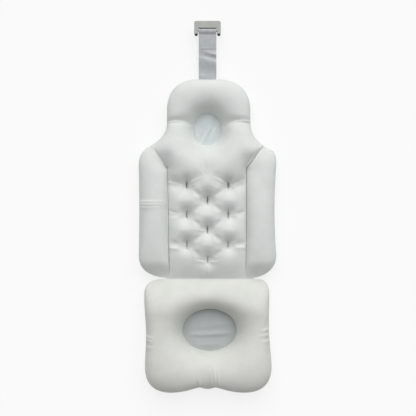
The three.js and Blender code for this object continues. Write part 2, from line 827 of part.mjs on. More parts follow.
const strapFront = (() => {
  const run = barY - strapStart;
  const curve = new THREE.CubicBezierCurve(
    plane(strapStart, seamHeight),
    plane(strapStart + 0.3 * run, seamHeight),
    plane(barY - 0.3 * run, strapTop),
    plane(barY, strapTop),
  );
  return pathPoints(curve, 16);
})();
const strapHeightAt = (y) => lineAt(strapFront.map(([along, z]) => [z, along]), y);

const strapPath = (() => {
  const loop = new THREE.Path().absarc(barY, barHeight, loopRadius, Math.PI / 2, -Math.PI / 2, true);
  const below = strapThickness + strapLayerGap;
  const tailEnd = barY - strapTailLength;
  const tailBend = barY - 0.55 * strapTailLength;
  const tail = new THREE.CubicBezierCurve(
    plane(barY, barHeight - loopRadius),
    plane(barY - 0.25 * strapTailLength, barHeight - loopRadius),
    plane(tailBend, strapHeightAt(tailBend) - below),
    plane(tailEnd, strapHeightAt(tailEnd) - below),
  );
  return [...strapFront, ...pathPoints(loop, 12).slice(1), ...pathPoints(tail, 10).slice(1)];
})();

// A band of even thickness along a line of points, with a round start.
function bandShape(line, thickness) {
  const side = (sign) =>
    line.map(([y, z], i) => {
      const [ay, az] = line[Math.max(i - 1, 0)];
      const [by, bz] = line[Math.min(i + 1, line.length - 1)];
      const length = Math.hypot(by - ay, bz - az);
      const offset = (sign * thickness) / 2 / length;
      return plane(y - (bz - az) * offset, z + (by - ay) * offset);
    });
  const heading = Math.atan2(line[1][1] - line[0][1], line[1][0] - line[0][0]);
  const radius = thickness / 2;
  const round = evenly(0.5, 1.5, 6).map((turn) => {
    const angle = heading + Math.PI * turn;
    return plane(line[0][0] + radius * Math.cos(angle), line[0][1] + radius * Math.sin(angle));
  });
  return new THREE.Shape([...side(-1), ...side(1).reverse(), ...round.slice(1, -1)]);
}
add("strap_web", acrossX(bandShape(strapPath, strapThickness), strapWidth), webbing);

// The tack that closes the loop lies across the strap, over the end of its tail.
const loopTackY = barY - strapTailLength + tackLength / 2;
const loopTack = new THREE.BoxGeometry(loopTackLength, 2 * tackRadius, tackRadius);
const loopTackMesh = add("loop_tack", loopTack, thread);
const strapSlope = Math.atan2(strapHeightAt(loopTackY + 1) - strapHeightAt(loopTackY - 1), 2);
loopTackMesh.rotation.x = strapSlope;
loopTackMesh.position.set(
  0,
  loopTackY,
  strapHeightAt(loopTackY) + (strapThickness / 2 + fitGap + tackRadius / 2) / Math.cos(strapSlope),
);

// Hook: a crossbar with two arms and a web bar between them, and a leg behind that goes over the tub's rim

const armFoot = barY - armDrop;
const armInner = hookHalfWidth - armWidth;

function hookFrame() {
  const r = hookCornerRadius;
  const b = hookBevel;
  const shape = new THREE.Shape();
  shape.moveTo(-hookHalfWidth + b, armFoot + b);
  shape.lineTo(-armInner - b, armFoot + b);
  shape.lineTo(-armInner - b, crossbarFoot + b);
  shape.lineTo(armInner + b, crossbarFoot + b);
  shape.lineTo(armInner + b, armFoot + b);
  shape.lineTo(hookHalfWidth - b, armFoot + b);
  shape.lineTo(hookHalfWidth - b, hookTop - r);
  shape.absarc(hookHalfWidth - r, hookTop - r, r - b, 0, Math.PI / 2);
  shape.lineTo(-hookHalfWidth + r, hookTop - b);
  shape.absarc(-hookHalfWidth + r, hookTop - r, r - b, Math.PI / 2, Math.PI);
  const bevel = { bevelThickness: b, bevelSize: b, bevelSegments: 2 };
  const frame = new THREE.ExtrudeGeometry(shape, { depth: hookDepth - 2 * b, curveSegments: 5, ...bevel });
  return frame.translate(0, 0, hookFloor + b);
}

function hookLeg() {
  const top = hookFloor + hookDepth / 2;
  const legTip = hookTop - legLength;
  const shape = new THREE.Shape();
  shape.moveTo(legTip + legThickness / 2, 0);
  shape.lineTo(hookTop - crownRadius, 0);
  shape.absarc(hookTop - crownRadius, crownRadius, crownRadius, -Math.PI / 2, 0);
  shape.lineTo(hookTop, top);
  shape.lineTo(hookTop - crownThickness, top);
  shape.lineTo(hookTop - crownThickness, legThickness);
  shape.lineTo(legTip + legThickness / 2, legThickness);
  shape.absarc(legTip + legThickness / 2, legThickness / 2, legThickness / 2, Math.PI / 2, (3 * Math.PI) / 2);
  return acrossX(shape, 2 * legHalfWidth);
}

const armMiddle = hookHalfWidth - armWidth / 2;
const webBar = new THREE.CylinderGeometry(barRadius, barRadius, 2 * armMiddle, 14)
  .rotateZ(Math.PI / 2)
  .translate(0, barY, barHeight);
function stemHole(side) {
  const radius = tipStemRadius + fitGap;
  const depth = tipStemLength;
  const outside = depth + tipLength;
  const hole = turnedDown([[0, 0], [radius, 0], [radius, outside], [0, outside]], 10);
  return hole.translate(side * armMiddle, armFoot + depth, barHeight);
}
const hook = solidOf(hookFrame())
  .add(solidOf(hookLeg()))
  .add(solidOf(webBar))
  .subtract(solidOf(stemHole(1)))
  .subtract(solidOf(stemHole(-1)));
add("hook_body", geometryOf(hook), plastic);

for (const [sideName, side] of Object.entries(bolsterSides)) {
  const domeHeight = tipLength / 2;
  const domeFoot = tipStemLength + domeHeight;
  const dome = new THREE.Path().absellipse(0, domeFoot, tipRadius, domeHeight, 0, Math.PI / 2);
  const profile = [
    [0, 0],
    [tipStemRadius, 0],
    [tipStemRadius, tipStemLength],
    [tipRadius, tipStemLength],
    ...pathPoints(dome, 2),
  ];
  profile[profile.length - 1] = [0, tipStemLength + tipLength];
  add(sideName + "_hook_tip", turnedDown(profile, 12), rubber).position.set(
    side * armMiddle,
    armFoot + tipStemLength - fitGap,
    barHeight,
  );
}

// The origin is under the middle of the whole pillow.
pillow.position.y = (seatLength - hookTop) / 2;

export default pillow;
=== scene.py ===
# Looks of a baby's bath pillow: tufted back cushion, folding seat cushion, webbing strap and rim hook.
# Metres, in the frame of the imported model. Plans of the cushions are drawn with the hinge line at Y = 0.
import json
import math

import bpy
import numpy as np
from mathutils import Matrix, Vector
from mathutils.geometry import delaunay_2d_cdt


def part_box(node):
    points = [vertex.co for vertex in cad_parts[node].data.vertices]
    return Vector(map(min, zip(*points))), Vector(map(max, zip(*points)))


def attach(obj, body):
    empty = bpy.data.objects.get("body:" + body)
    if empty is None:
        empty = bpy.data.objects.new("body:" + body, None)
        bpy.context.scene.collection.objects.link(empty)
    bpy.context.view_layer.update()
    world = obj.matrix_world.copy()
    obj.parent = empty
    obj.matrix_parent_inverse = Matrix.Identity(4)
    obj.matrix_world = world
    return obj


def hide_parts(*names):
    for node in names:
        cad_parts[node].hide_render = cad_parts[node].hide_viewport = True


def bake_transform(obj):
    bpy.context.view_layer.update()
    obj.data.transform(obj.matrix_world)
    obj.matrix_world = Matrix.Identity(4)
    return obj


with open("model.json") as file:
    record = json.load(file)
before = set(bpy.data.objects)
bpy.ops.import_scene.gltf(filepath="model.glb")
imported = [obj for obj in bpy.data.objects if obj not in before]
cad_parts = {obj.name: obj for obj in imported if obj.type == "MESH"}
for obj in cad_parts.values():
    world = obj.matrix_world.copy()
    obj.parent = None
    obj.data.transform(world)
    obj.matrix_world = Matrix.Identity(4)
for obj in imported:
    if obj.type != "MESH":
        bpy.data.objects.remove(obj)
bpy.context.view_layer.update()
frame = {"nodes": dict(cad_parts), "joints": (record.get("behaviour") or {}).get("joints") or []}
MM = 0.001
TINY = 1e-12


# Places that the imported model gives

JOINTS = {joint["name"]: joint["pos_m"] for joint in frame["joints"]}
_, HINGE_Y, SEAM_Z = JOINTS["seat_fold"]


def low_of(node):
    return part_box(node)[0]


def high_of(node):
    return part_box(node)[1]


def middle_of(node):
    return (low_of(node) + high_of(node)) / 2


def half_size_of(node):
    return (high_of(node) - low_of(node)) / 2


TACK_NODES = sorted(name for name in frame["nodes"] if name.startswith("tuft_tack"))
TACKS = [middle_of(name) for name in TACK_NODES]
TACK_LENGTH = 2 * half_size_of(TACK_NODES[0]).y
HINGE_FOOT = low_of("back_rear_cover").y - HINGE_Y
BACK_LENGTH = high_of("back_rear_cover").y - HINGE_Y
SHOULDER_Y = high_of("right_bolster_cover").y - HINGE_Y
SEAT_LENGTH = HINGE_Y - low_of("seat_bottom_cover").y
PANEL_MARGIN = 6 * MM
WELL_MARGIN = Vector((PANEL_MARGIN, PANEL_MARGIN))
HEAD_WELL = np.array([0, middle_of("head_well_panel").y - HINGE_Y])
HEAD_WELL_RADII = half_size_of("head_well_panel").xy - WELL_MARGIN
HEAD_WELL_FOOT = HEAD_WELL[1] - HEAD_WELL_RADII[1]
HEAD_WELL_TOP = HEAD_WELL[1] + HEAD_WELL_RADII[1]
SEAT_WELL_SHIFT = 3.5 * MM
SEAT_WELL = np.array([SEAT_WELL_SHIFT, middle_of("seat_well_panel").y - HINGE_Y])
SEAT_WELL_RADII = half_size_of("seat_well_panel").xy - WELL_MARGIN
LINING_Z = high_of("head_well_panel").z
FIT = 0.3 * MM
EDGE_Z = SEAM_Z + FIT / 2
WELL_RIM_Z = LINING_Z + FIT


# Plane geometry

def curve(*points, steps=24):
    """Points along a Bezier curve of any order, without its last point."""
    share = np.linspace(0, 1, steps, endpoint=False)[:, None]
    level = [np.array(point, float)[None, :] for point in points]
    while len(level) > 1:
        level = [a + (b - a) * share for a, b in zip(level, level[1:])]
    return level[0]


def chained(start, *runs):
    """Curves that follow each other, each from the last one's end through its own control points."""
    curves = []
    for run in runs:
        curves.append(curve(start, *run))
        start = run[-1]
    return np.vstack(curves)


def between(first, last, share):
    return first + share * (last - first)


def mirrored(line):
    return line * [-1, 1]


def closed(loop):
    return np.vstack([loop, loop[:1]])


def sides_of(loop):
    return np.stack([loop, np.roll(loop, -1, axis=0)], axis=1)


def evenly_spaced(line, step):
    lengths = np.hypot(*np.diff(line, axis=0).T)
    along = np.concatenate([[0], np.cumsum(lengths)])
    count = max(round(along[-1] / step), 2)
    places = np.linspace(0, along[-1], count + 1)
    return np.column_stack([np.interp(places, along, line[:, axis]) for axis in (0, 1)])


def from_line(points, line):
    """Each point's distance from a line, which side of it the point is on, and how far along, from 0 to 1."""
    least = np.full(len(points), np.inf)
    side = np.zeros(len(points))
    share = np.zeros(len(points))
    for i, (start, end) in enumerate(zip(line, line[1:])):
        step = end - start
        away = points - start
        along = np.clip(away @ step / max(step @ step, TINY), 0, 1)
        rest = away - along[:, None] * step
        distance = np.hypot(*rest.T)
        nearer = distance < least
        least = np.where(nearer, distance, least)
        side = np.where(nearer, np.sign(step[0] * rest[:, 1] - step[1] * rest[:, 0]), side)
        share = np.where(nearer, (i + along) / (len(line) - 1), share)
    return least, side, share


def distance_to(points, line):
    return from_line(points, line)[0]


def inside(points, sides):
    """Which points lie inside a loop, given as its sides in any order."""
    x, y = points.T
    within = np.zeros(len(points), bool)
    for (ax, ay), (bx, by) in sides:
        if ay != by:
            crosses = (ay > y) != (by > y)
            within ^= crosses & (x < ax + (bx - ax) * (y - ay) / (by - ay))
    return within


def oval(middle, radii, steps=96):
    turn = np.linspace(0, 2 * math.pi, steps, endpoint=False)
    return middle + np.array(radii) * np.column_stack([np.cos(turn), np.sin(turn)])


def rise(distance, run):
    """A round rise from 0 at an edge to 1 at the given run, upright at the edge."""
    return np.sqrt(1 - (1 - np.minimum(distance / run, 1)) ** 2)


def ramp(distance, run):
    """The same with a slope at the edge, for the hinge."""
    return np.sin(math.pi / 2 * np.clip(distance / run, 0, 1))


def smooth(value, low, high):
    share = np.clip((value - low) / (high - low), 0, 1)
    return share * share * (3 - 2 * share)


def bell(distance, spread):
    return np.exp(-((distance / spread) ** 2))


# Outlines of the two cushions, drawn as right halves. A pull is a control point's share of a run.

BACK_HALF_WIDTH = 117 * MM
LOWER_CORNER_RISE = 40 * MM
LEFT_HINGE_HALF_LENGTH = 71 * MM
RIGHT_HINGE_HALF_LENGTH = 80 * MM
SIDE_TOP_Y = 192 * MM
NECK_Y = 264 * MM
HEAD_HALF_WIDTH = 71 * MM
HEAD_LEAN = 2 * MM
HEAD_SIDE_LENGTH = 21 * MM
CROWN_HALF_LENGTH = 18 * MM
LOWER_CORNER_PULLS = (0.1, 0.3)
SHOULDER_TIP_PULLS = (0.05, 0.25)
NECK_X_PULL = 0.46
NECK_Y_PULLS = (0.21, 0.52)
CROWN_PULLS = (0.62, 0.64)


def back_side(draw_in, head_wide, hinge_half, reach, tip, pull):
    """The right half of the back's outline, from the hinge up to the middle of the crown."""
    wide = BACK_HALF_WIDTH
    corner_y = LOWER_CORNER_RISE
    head_top = NECK_Y + HEAD_SIDE_LENGTH
    corner = [
        (hinge_half + reach, LOWER_CORNER_PULLS[0] * corner_y),
        (wide, LOWER_CORNER_PULLS[1] * corner_y),
        (wide, corner_y),
    ]
    side = [(wide - 2 * draw_in, (corner_y + SIDE_TOP_Y) / 2), (wide, SIDE_TOP_Y)]
    to_tip = [pull + more for more in SHOULDER_TIP_PULLS]
    shoulder = [
        (wide, between(SIDE_TOP_Y, tip[1], pull)),
        (between(tip[0], wide, to_tip[0]), between(SIDE_TOP_Y, tip[1], to_tip[1])),
        tip,
    ]
    neck = [
        (between(head_wide, tip[0], NECK_X_PULL), between(tip[1], NECK_Y, NECK_Y_PULLS[0])),
        (head_wide, between(tip[1], NECK_Y, NECK_Y_PULLS[1])),
        (head_wide, NECK_Y),
    ]
    crown = [
        (head_wide, between(head_top, BACK_LENGTH, CROWN_PULLS[0])),
        (between(CROWN_HALF_LENGTH, head_wide, CROWN_PULLS[1]), BACK_LENGTH),
        (CROWN_HALF_LENGTH, BACK_LENGTH),
    ]
    body = chained((hinge_half, HINGE_FOOT), corner, side, shoulder, neck)
    head = chained((head_wide, head_top), crown)
    return np.vstack([body, head, [crown[-1], (0, BACK_LENGTH)]])


BACK_RIGHT = back_side(
    draw_in=3 * MM, head_wide=HEAD_HALF_WIDTH + HEAD_LEAN, hinge_half=RIGHT_HINGE_HALF_LENGTH,
    reach=12 * MM, tip=np.array([104, 220.5]) * MM, pull=0.68,
)
BACK_LEFT = mirrored(back_side(
    draw_in=1 * MM, head_wide=HEAD_HALF_WIDTH - HEAD_LEAN, hinge_half=LEFT_HINGE_HALF_LENGTH,
    reach=24 * MM, tip=np.array([99, 224.5]) * MM, pull=0.55,
))
BACK_EDGE = np.vstack([BACK_RIGHT, BACK_LEFT[-2::-1]])

SEAT_TOP_CORNER_DROP = 28 * MM
SEAT_WAIST_HALF_WIDTH = 104.5 * MM
SEAT_LOBE_X = 62 * MM
SEAT_LOWER_CORNER_RISE = 45 * MM
NOTCH_X = 13 * MM
NOTCH_RISE = 9 * MM
NOTCH_BUMP_RISE = 6 * MM
SEAT_TOP_PULLS = (0.68, 0.36)
SEAT_WAIST_PULLS = (0.75, 0.25)
SEAT_CORNER_PULLS = (0.32, 0.64)
LOBE_PULLS = (0.45, 0.25, 0.75)


def seat_side(top_length, wide, lower_wide, waist_depth):
    """The right half of the seat's outline, from the hinge edge down to the middle of the notch."""
    foot = -SEAT_LENGTH
    drop = SEAT_TOP_CORNER_DROP
    waist = SEAT_WAIST_HALF_WIDTH
    corner_y = foot + SEAT_LOWER_CORNER_RISE
    top_corner = [
        (between(top_length, wide, SEAT_TOP_PULLS[0]), -HINGE_FOOT),
        (wide, -SEAT_TOP_PULLS[1] * drop),
        (wide, -drop),
    ]
    upper_side = [
        (wide, -(drop + waist_depth) / 2),
        (waist, -SEAT_WAIST_PULLS[0] * waist_depth),
        (waist, -waist_depth),
    ]
    lower_side = [
        (waist, (corner_y - waist_depth) / 2),
        (lower_wide, between(corner_y, -waist_depth, SEAT_WAIST_PULLS[1])),
        (lower_wide, corner_y),
    ]
    lower_corner = [
        (lower_wide, between(foot, corner_y, SEAT_CORNER_PULLS[0])),
        (between(SEAT_LOBE_X, lower_wide, SEAT_CORNER_PULLS[1]), foot),
        (SEAT_LOBE_X, foot),
    ]
    lobe = [
        (between(SEAT_LOBE_X, NOTCH_X, LOBE_PULLS[0]), foot),
        (between(NOTCH_X, SEAT_LOBE_X, LOBE_PULLS[1]), foot + LOBE_PULLS[2] * NOTCH_RISE),
        (NOTCH_X, foot + NOTCH_RISE),
    ]
    bump = [(NOTCH_X / 2, foot + NOTCH_BUMP_RISE), (0, foot + NOTCH_BUMP_RISE)]
    start = (top_length, -HINGE_FOOT)
    sides = chained(start, top_corner, upper_side, lower_side, lower_corner, lobe, bump)
    return np.vstack([sides, [bump[-1]]])


SEAT_RIGHT = seat_side(top_length=86 * MM, wide=105 * MM, lower_wide=109 * MM, waist_depth=76 * MM)
SEAT_LEFT = mirrored(seat_side(
    top_length=77 * MM, wide=107.5 * MM, lower_wide=106.5 * MM, waist_depth=94 * MM
))
SEAT_EDGE = np.vstack([SEAT_RIGHT, SEAT_LEFT[-2::-1]])
HEAD_OPENING = oval(HEAD_WELL, HEAD_WELL_RADII)
SEAT_OPENING = oval(SEAT_WELL, SEAT_WELL_RADII)


# Seams, tacks and creases

LEFT_SEAM_FOOT_X = 65 * MM
LEFT_SEAM_TOP_X = 68 * MM
RIGHT_SEAM_X = 65.5 * MM
SLIT_FOOT = -2 * MM
SLIT_HEAD = 4 * MM
NEIGHBOUR_ROWS = 1.5
NECK_LINE_POINTS = np.array([(71, 262), (40, 270), (26, 260)]) * MM
NOTCH_CREASE_LENGTH = 26 * MM
NOTCH_VALLEY_LENGTH = 48 * MM
# Each crease has a depth, a spread, and the share of its depth that it loses on the way to its end.
TUFT_CREASE = (3.5 * MM, 6 * MM, 0)
CHEST_FOLD = (5.5 * MM, 11 * MM, 0.75)
CHEST_CREASE = (2 * MM, 5 * MM, 1)
NECK_CREASE = (6 * MM, 8 * MM, 0.1)
NOTCH_CREASE = (4 * MM, 4 * MM, 1)
NOTCH_VALLEY = (6.5 * MM, 16 * MM, 1)


def x_at(line, y):
    return np.interp(y, line[:, 1], line[:, 0])


def bolster_seam(foot_x, top_x, outline):
    """Straight up from the hinge, and then out over the shoulder to the outline."""
    shoulder = (x_at(outline, SHOULDER_Y), SHOULDER_Y)
    return np.array([(foot_x, HINGE_FOOT), (top_x, SEAM_CORNER_Y), shoulder])


SEAM_CORNER_Y = max(tack.y for tack in TACKS) - HINGE_Y + TACK_LENGTH / 2
RIGHT_SEAM = bolster_seam(RIGHT_SEAM_X, RIGHT_SEAM_X, BACK_RIGHT)
LEFT_SEAM = bolster_seam(-LEFT_SEAM_FOOT_X, -LEFT_SEAM_TOP_X, BACK_LEFT)
TACK_LINES = [
    np.array([(tack.x, tack.y - HINGE_Y + SLIT_FOOT), (tack.x, tack.y - HINGE_Y + SLIT_HEAD)])
    for tack in TACKS
]
TOP_TUFT = int(np.argmax([tack.y for tack in TACKS]))


def crease(start, end, sizes):
    return np.array([start, end]), *sizes


def tuft_creases():
    """Lines between neighbouring tufts and to the bolster seams. The top ones are deeper, under the chest."""
    places = sorted((tack.y - HINGE_Y, tack.x) for tack in TACKS)
    reach = NEIGHBOUR_ROWS * (places[1][0] - places[0][0])
    chest_y = places[-1][0] - reach
    creases = []
    for y, x in places:
        sizes = CHEST_FOLD if y > chest_y else TUFT_CREASE
        for other_y, other_x in places:
            if 0 < other_y - y < reach:
                creases.append(crease((x, y), (other_x, other_y), sizes))
        if abs(x) > MM:
            seam_x = x_at(RIGHT_SEAM if x > 0 else LEFT_SEAM, y)
            creases.append(crease((x, y), (seam_x, y + TACK_LENGTH / 2), (*sizes[:2], 0)))
    return creases


NECK_LINE = curve(*NECK_LINE_POINTS)
BACK_CREASES = [
    *tuft_creases(),
    crease((0, SEAM_CORNER_Y), (0, HEAD_WELL_FOOT), CHEST_CREASE),
    (NECK_LINE, *NECK_CREASE),
    (mirrored(NECK_LINE), *NECK_CREASE),
]
NOTCH_Y = NOTCH_RISE - SEAT_LENGTH
SEAT_CREASES = [crease((0, NOTCH_Y), (0, NOTCH_Y + NOTCH_VALLEY_LENGTH), NOTCH_VALLEY)]
for notch_x in (-NOTCH_X, NOTCH_X):
    notch_end = (notch_x, NOTCH_Y + NOTCH_CREASE_LENGTH)
    SEAT_CREASES.append(crease((notch_x, NOTCH_Y), notch_end, NOTCH_CREASE))


# Heights of the cushions' surfaces. A slope is the share of its short end and the run of its long one.

NEAR = 0.1 * MM
FILM_ROUNDS = 2500
FILM_END = 1e-16
FILM_LEAST_WEIGHT = 1e-9
HINGE_RIM_Z = SEAM_Z + 0.9 * MM
HINGE_SHORT_RUN = 10 * MM
BACK_SLOPE = (0.18, 100 * MM)
BOLSTER_SLOPE = (0.1, 30 * MM)
SEAT_SLOPE = (0.04, 60 * MM)
REAR_ROUND = 24 * MM
REAR_HINGE_RUN = 24 * MM
BOLSTER_SEAM_Z = 27 * MM
LEFT_SHOULDER_SEAM_LIFT = 14 * MM
RIGHT_SHOULDER_SEAM_LIFT = 9 * MM
TUFT_DIMPLE = 7.2 * MM
TUFT_DIMPLE_SPREAD = 13.5 * MM
TOP_TUFT_SHARE = 0.5
TACK_LIP = 2 * MM
SLIT_DEPTH = 1.6 * MM
SLIT_SPREAD = 1 * MM
EDGE_FULLNESS = 0.14
SEAM_SOFTNESS = 0.3
WELL_TOP_SOFTNESS = 0.8
WELL_FOOT_SOFTNESS = -0.5
TUFT_LOAD = 1.0
CHEST_LOAD = 2.05
CHEST_LOAD_RUN = 12 * MM
HEAD_LOAD = 1.85
BOLSTER_LOAD = 1.75
BOLSTER_TAPER_Y = 120 * MM
LEFT_BOLSTER_TAPER = 0.35
RIGHT_BOLSTER_TAPER = 0.92
BOLSTER_FOOT_TAPER = 0.55
SEAT_LOAD = 1.8
CREASE_FULL_HEIGHT = 16 * MM
LEFT_HOLLOW = np.array([-74, 204]) * MM
RIGHT_HOLLOW = np.array([70, 200]) * MM
HOLLOW_DEPTH = 6 * MM
HOLLOW_SPREAD = 15 * MM
HOLLOW_SEAM_FADE = 3 * MM


def film(points, triangles, load, held, levels):
    """Levels of a film stretched over a plan and pushed up by a load. Held points keep their levels."""
    count = len(points)
    starts, ends, weights = [], [], []
    for turn in range(3):
        a, b, c = np.roll(triangles, turn, axis=1).T
        ab = points[b] - points[a]
        ac = points[c] - points[a]
        doubled = np.maximum(np.abs(ab[:, 0] * ac[:, 1] - ab[:, 1] * ac[:, 0]), TINY)
        starts.append(b)
        ends.append(c)
        weights.append((ab * ac).sum(axis=1) / (2 * doubled))
    area = np.bincount(triangles.ravel(), np.repeat(doubled / 6, 3), count)
    starts, ends, weights = map(np.concatenate, (starts, ends, weights))
    both = np.bincount(starts, weights, count) + np.bincount(ends, weights, count)

    def pull(level):
        from_ends = np.bincount(starts, weights * level[ends], count)
        from_starts = np.bincount(ends, weights * level[starts], count)
        return both * level - (from_ends + from_starts)

    level = np.where(held, levels, 0.0)
    free = ~held
    rest = np.where(free, load * area - pull(level), 0)
    scale = np.where(free & (both > FILM_LEAST_WEIGHT), 1 / np.maximum(both, FILM_LEAST_WEIGHT), 0)
    step = scale * rest
    product = rest @ step
    first = product
    for _ in range(FILM_ROUNDS):
        if product <= FILM_END * first:
            break
        pulled = np.where(free, pull(step), 0)
        share = product / (step @ pulled)
        level += share * step
        rest -= share * pulled
        scaled = scale * rest
        new_product = rest @ scaled
        step = scaled + new_product / product * step
        product = new_product
    return level


def creased(points, creases):
    """Depth below the full form."""
    depths = []
    for line, depth, spread, fade in creases:
        away, _, share = from_line(points, line)
        depths.append(depth * bell(away, spread) * (1 - fade * share))
    return np.max(depths, axis=0)


def hollow(points, middle):
    """The dip where the chest meets a shoulder."""
    return HOLLOW_DEPTH * bell(np.hypot(*(points - middle).T), HOLLOW_SPREAD)


def sloped_to_hinge(full, points, short_share, run):
    """A long gentle slope down to the hinge and a short one at its end, to leave the seat room to fold."""
    away = np.maximum(np.abs(points[:, 1]) - HINGE_FOOT, 0)
    share = short_share * (1 - np.exp(-away / HINGE_SHORT_RUN)) + (1 - short_share) * ramp(away, run)
    return HINGE_RIM_Z + (full - HINGE_RIM_Z) * share


def in_bolster(points):
    x, y = points.T
    right = x > x_at(RIGHT_SEAM, y)
    left = x < x_at(LEFT_SEAM, y)
    return (right | left) & (y < SHOULDER_Y)


def near(points, line):
    return distance_to(points, line) < NEAR


def swelled(pushed, outer, soft):
    """Heights from a film's levels: round, fuller where outer is near 1, hollower where soft is near 1."""
    pushed = np.maximum(pushed, 0)
    top = pushed.max()
    return math.sqrt(top) * (pushed / top) ** (0.5 - EDGE_FULLNESS * outer + SEAM_SOFTNESS * soft)


def seam_level(points):
    """Height of the bolster seams, which climb over the shoulder."""
    share = np.clip((points[:, 1] - SEAM_CORNER_Y) / (SHOULDER_Y - SEAM_CORNER_Y), 0, 1)
    lift = np.where(points[:, 0] < 0, LEFT_SHOULDER_SEAM_LIFT, RIGHT_SHOULDER_SEAM_LIFT)
    return BOLSTER_SEAM_Z + lift * np.sin(math.pi * share)


def tufts(points):
    """Which points the tacks hold, at what heights, and how deep the dents and slits around them are."""
    away = np.array([distance_to(points, line) for line in TACK_LINES])
    held_away = np.delete(away, TOP_TUFT, axis=0).min(axis=0)
    levels = np.array([tack.z for tack in TACKS])[away.argmin(axis=0)] + TACK_LIP
    dents = TUFT_DIMPLE * bell(away, TUFT_DIMPLE_SPREAD)
    dents[TOP_TUFT] *= TOP_TUFT_SHARE
    return held_away < NEAR, levels, dents.max(axis=0), SLIT_DEPTH * bell(held_away, SLIT_SPREAD)


def back_load(points, bolster):
    """How hard the fibre pushes: more in the chest and head than at the tufts, less at a bolster's ends."""
    x, y = points.T
    to_chest = smooth(y, SEAM_CORNER_Y - CHEST_LOAD_RUN, HEAD_WELL_FOOT)
    to_head = smooth(y, HEAD_WELL_FOOT, NECK_Y)
    centre = TUFT_LOAD + (CHEST_LOAD - TUFT_LOAD) * to_chest + (HEAD_LOAD - CHEST_LOAD) * to_head
    taper = np.where(x < 0, LEFT_BOLSTER_TAPER, RIGHT_BOLSTER_TAPER)
    to_shoulder = np.clip((y - BOLSTER_TAPER_Y) / (SHOULDER_Y - BOLSTER_TAPER_Y), 0, 1)
    to_foot = smooth(y, BOLSTER_TAPER_Y, 0)
    side = BOLSTER_LOAD * (1 - taper * to_shoulder - BOLSTER_FOOT_TAPER * to_foot)
    return np.where(bolster, side, centre)


def blown_up(points, triangles, edge, held, levels, load, soft):
    """Heights of a film over the points that hold it, and how far its load swells it above them."""
    base = film(points, triangles, 0, held, levels)
    outer = film(points, triangles, 0, held, np.where(edge, 1.0, 0.0))
    pushed = film(points, triangles, load, held, np.zeros(len(points)))
    return base, swelled(pushed, outer, soft)


def back_height(points, triangles):
    """Heights over the back's plan: blown up between its seams, its well and its tacks."""
    x, y = points.T
    edge = near(points, BACK_EDGE)
    seam = near(points, RIGHT_SEAM) | near(points, LEFT_SEAM)
    well = near(points, closed(HEAD_OPENING))
    tack, tack_z, dent, slit = tufts(points)
    held = edge | seam | well | tack
    levels = np.select([edge, seam, well, tack], [EDGE_Z, seam_level(points), WELL_RIM_Z, tack_z])
    bolster = in_bolster(points)
    left_shoulder = seam & (x < 0) & (y > SEAM_CORNER_Y)
    well_soft = np.interp(y, [HEAD_WELL_FOOT, HEAD_WELL_TOP], [WELL_FOOT_SOFTNESS, WELL_TOP_SOFTNESS])
    soft = film(points, triangles, 0, held, np.select([left_shoulder, well], [1.0, well_soft]))
    base, blown = blown_up(points, triangles, edge, held, levels, back_load(points, bolster), soft)
    drawn = np.maximum(dent, creased(points, BACK_CREASES)) * np.minimum(blown / CREASE_FULL_HEIGHT, 1)
    drawn += hollow(points, RIGHT_HOLLOW) * smooth(distance_to(points, RIGHT_SEAM), 0, HOLLOW_SEAM_FADE)
    full = base + blown - np.where(bolster, 0, drawn) - hollow(points, LEFT_HOLLOW) - slit
    centre_slope = sloped_to_hinge(full, points, *BACK_SLOPE)
    bolster_slope = sloped_to_hinge(full, points, *BOLSTER_SLOPE)
    return np.where(bolster, bolster_slope, centre_slope)


def seat_height(points, triangles):
    """Heights over the seat's plan: blown up between its seam and its well."""
    edge = near(points, SEAT_EDGE)
    well = near(points, closed(SEAT_OPENING))
    levels = np.select([edge, well], [EDGE_Z, WELL_RIM_Z])
    base, blown = blown_up(points, triangles, edge, edge | well, levels, SEAT_LOAD, soft=0)
    full = base + blown - creased(points, SEAT_CREASES) * np.minimum(blown / CREASE_FULL_HEIGHT, 1)
    return sloped_to_hinge(full, points, *SEAT_SLOPE)


def rear_height(points, edge_line, inset=0):
    """The rear of either cushion: flat at 0, and rounded up to the seams."""
    around = 1 - rise(np.maximum(distance_to(points, edge_line) - inset, 0), REAR_ROUND)
    hinge = 1 - ramp(np.abs(points[:, 1]) - HINGE_FOOT, REAR_HINGE_RUN)
    return (SEAM_Z - FIT / 2) * np.maximum(around, hinge)


# Fabric: a triangulated plan, lifted to its height. Clearances are shares of a step or a ring's distance.

FABRIC_STEP = 2.4 * MM
EDGE_ROUND = 26 * MM
EDGE_RINGS = 9
FIRST_RING = 0.6
GRID_CLEARANCE = 0.6
RING_CLEARANCE = 0.9
MERGE_DISTANCE = 0.02 * MM


def round_steps(run, step, count):
    """Distances from an edge that step evenly up a round of this run, from its upright foot."""
    turn = (np.arange(count) + FIRST_RING) * step / run
    return run * (1 - np.cos(turn))


def beside(line, distances):
    """Points beside a line, on both sides, with the distance that each should keep from every line."""
    ahead = np.gradient(line, axis=0)
    across = np.column_stack([-ahead[:, 1], ahead[:, 0]]) / np.hypot(*ahead.T)[:, None]
    points = [line + sign * distance * across for distance in distances for sign in (1, -1)]
    keep = np.repeat(distances, 2 * len(line))
    return np.vstack(points), keep


def hexagon_points(low, high, step):
    rows = np.arange(low[1], high[1], step * math.sqrt(3) / 2)
    columns = np.arange(low[0], high[0], step)
    return np.array([(x + (i % 2) * step / 2, y) for i, y in enumerate(rows) for x in columns])


def triangulated(points, edges, merge_distance):
    made = delaunay_2d_cdt([Vector(point) for point in points], edges, [], 0, merge_distance)
    return np.array([tuple(point) for point in made[0]]), np.array(made[2])


def only(points, triangles, wanted):
    """The part of a mesh with these triangles, without the points that they don't use."""
    used, index = np.unique(triangles[wanted], return_inverse=True)
    return points[used], index.reshape(-1, 3)


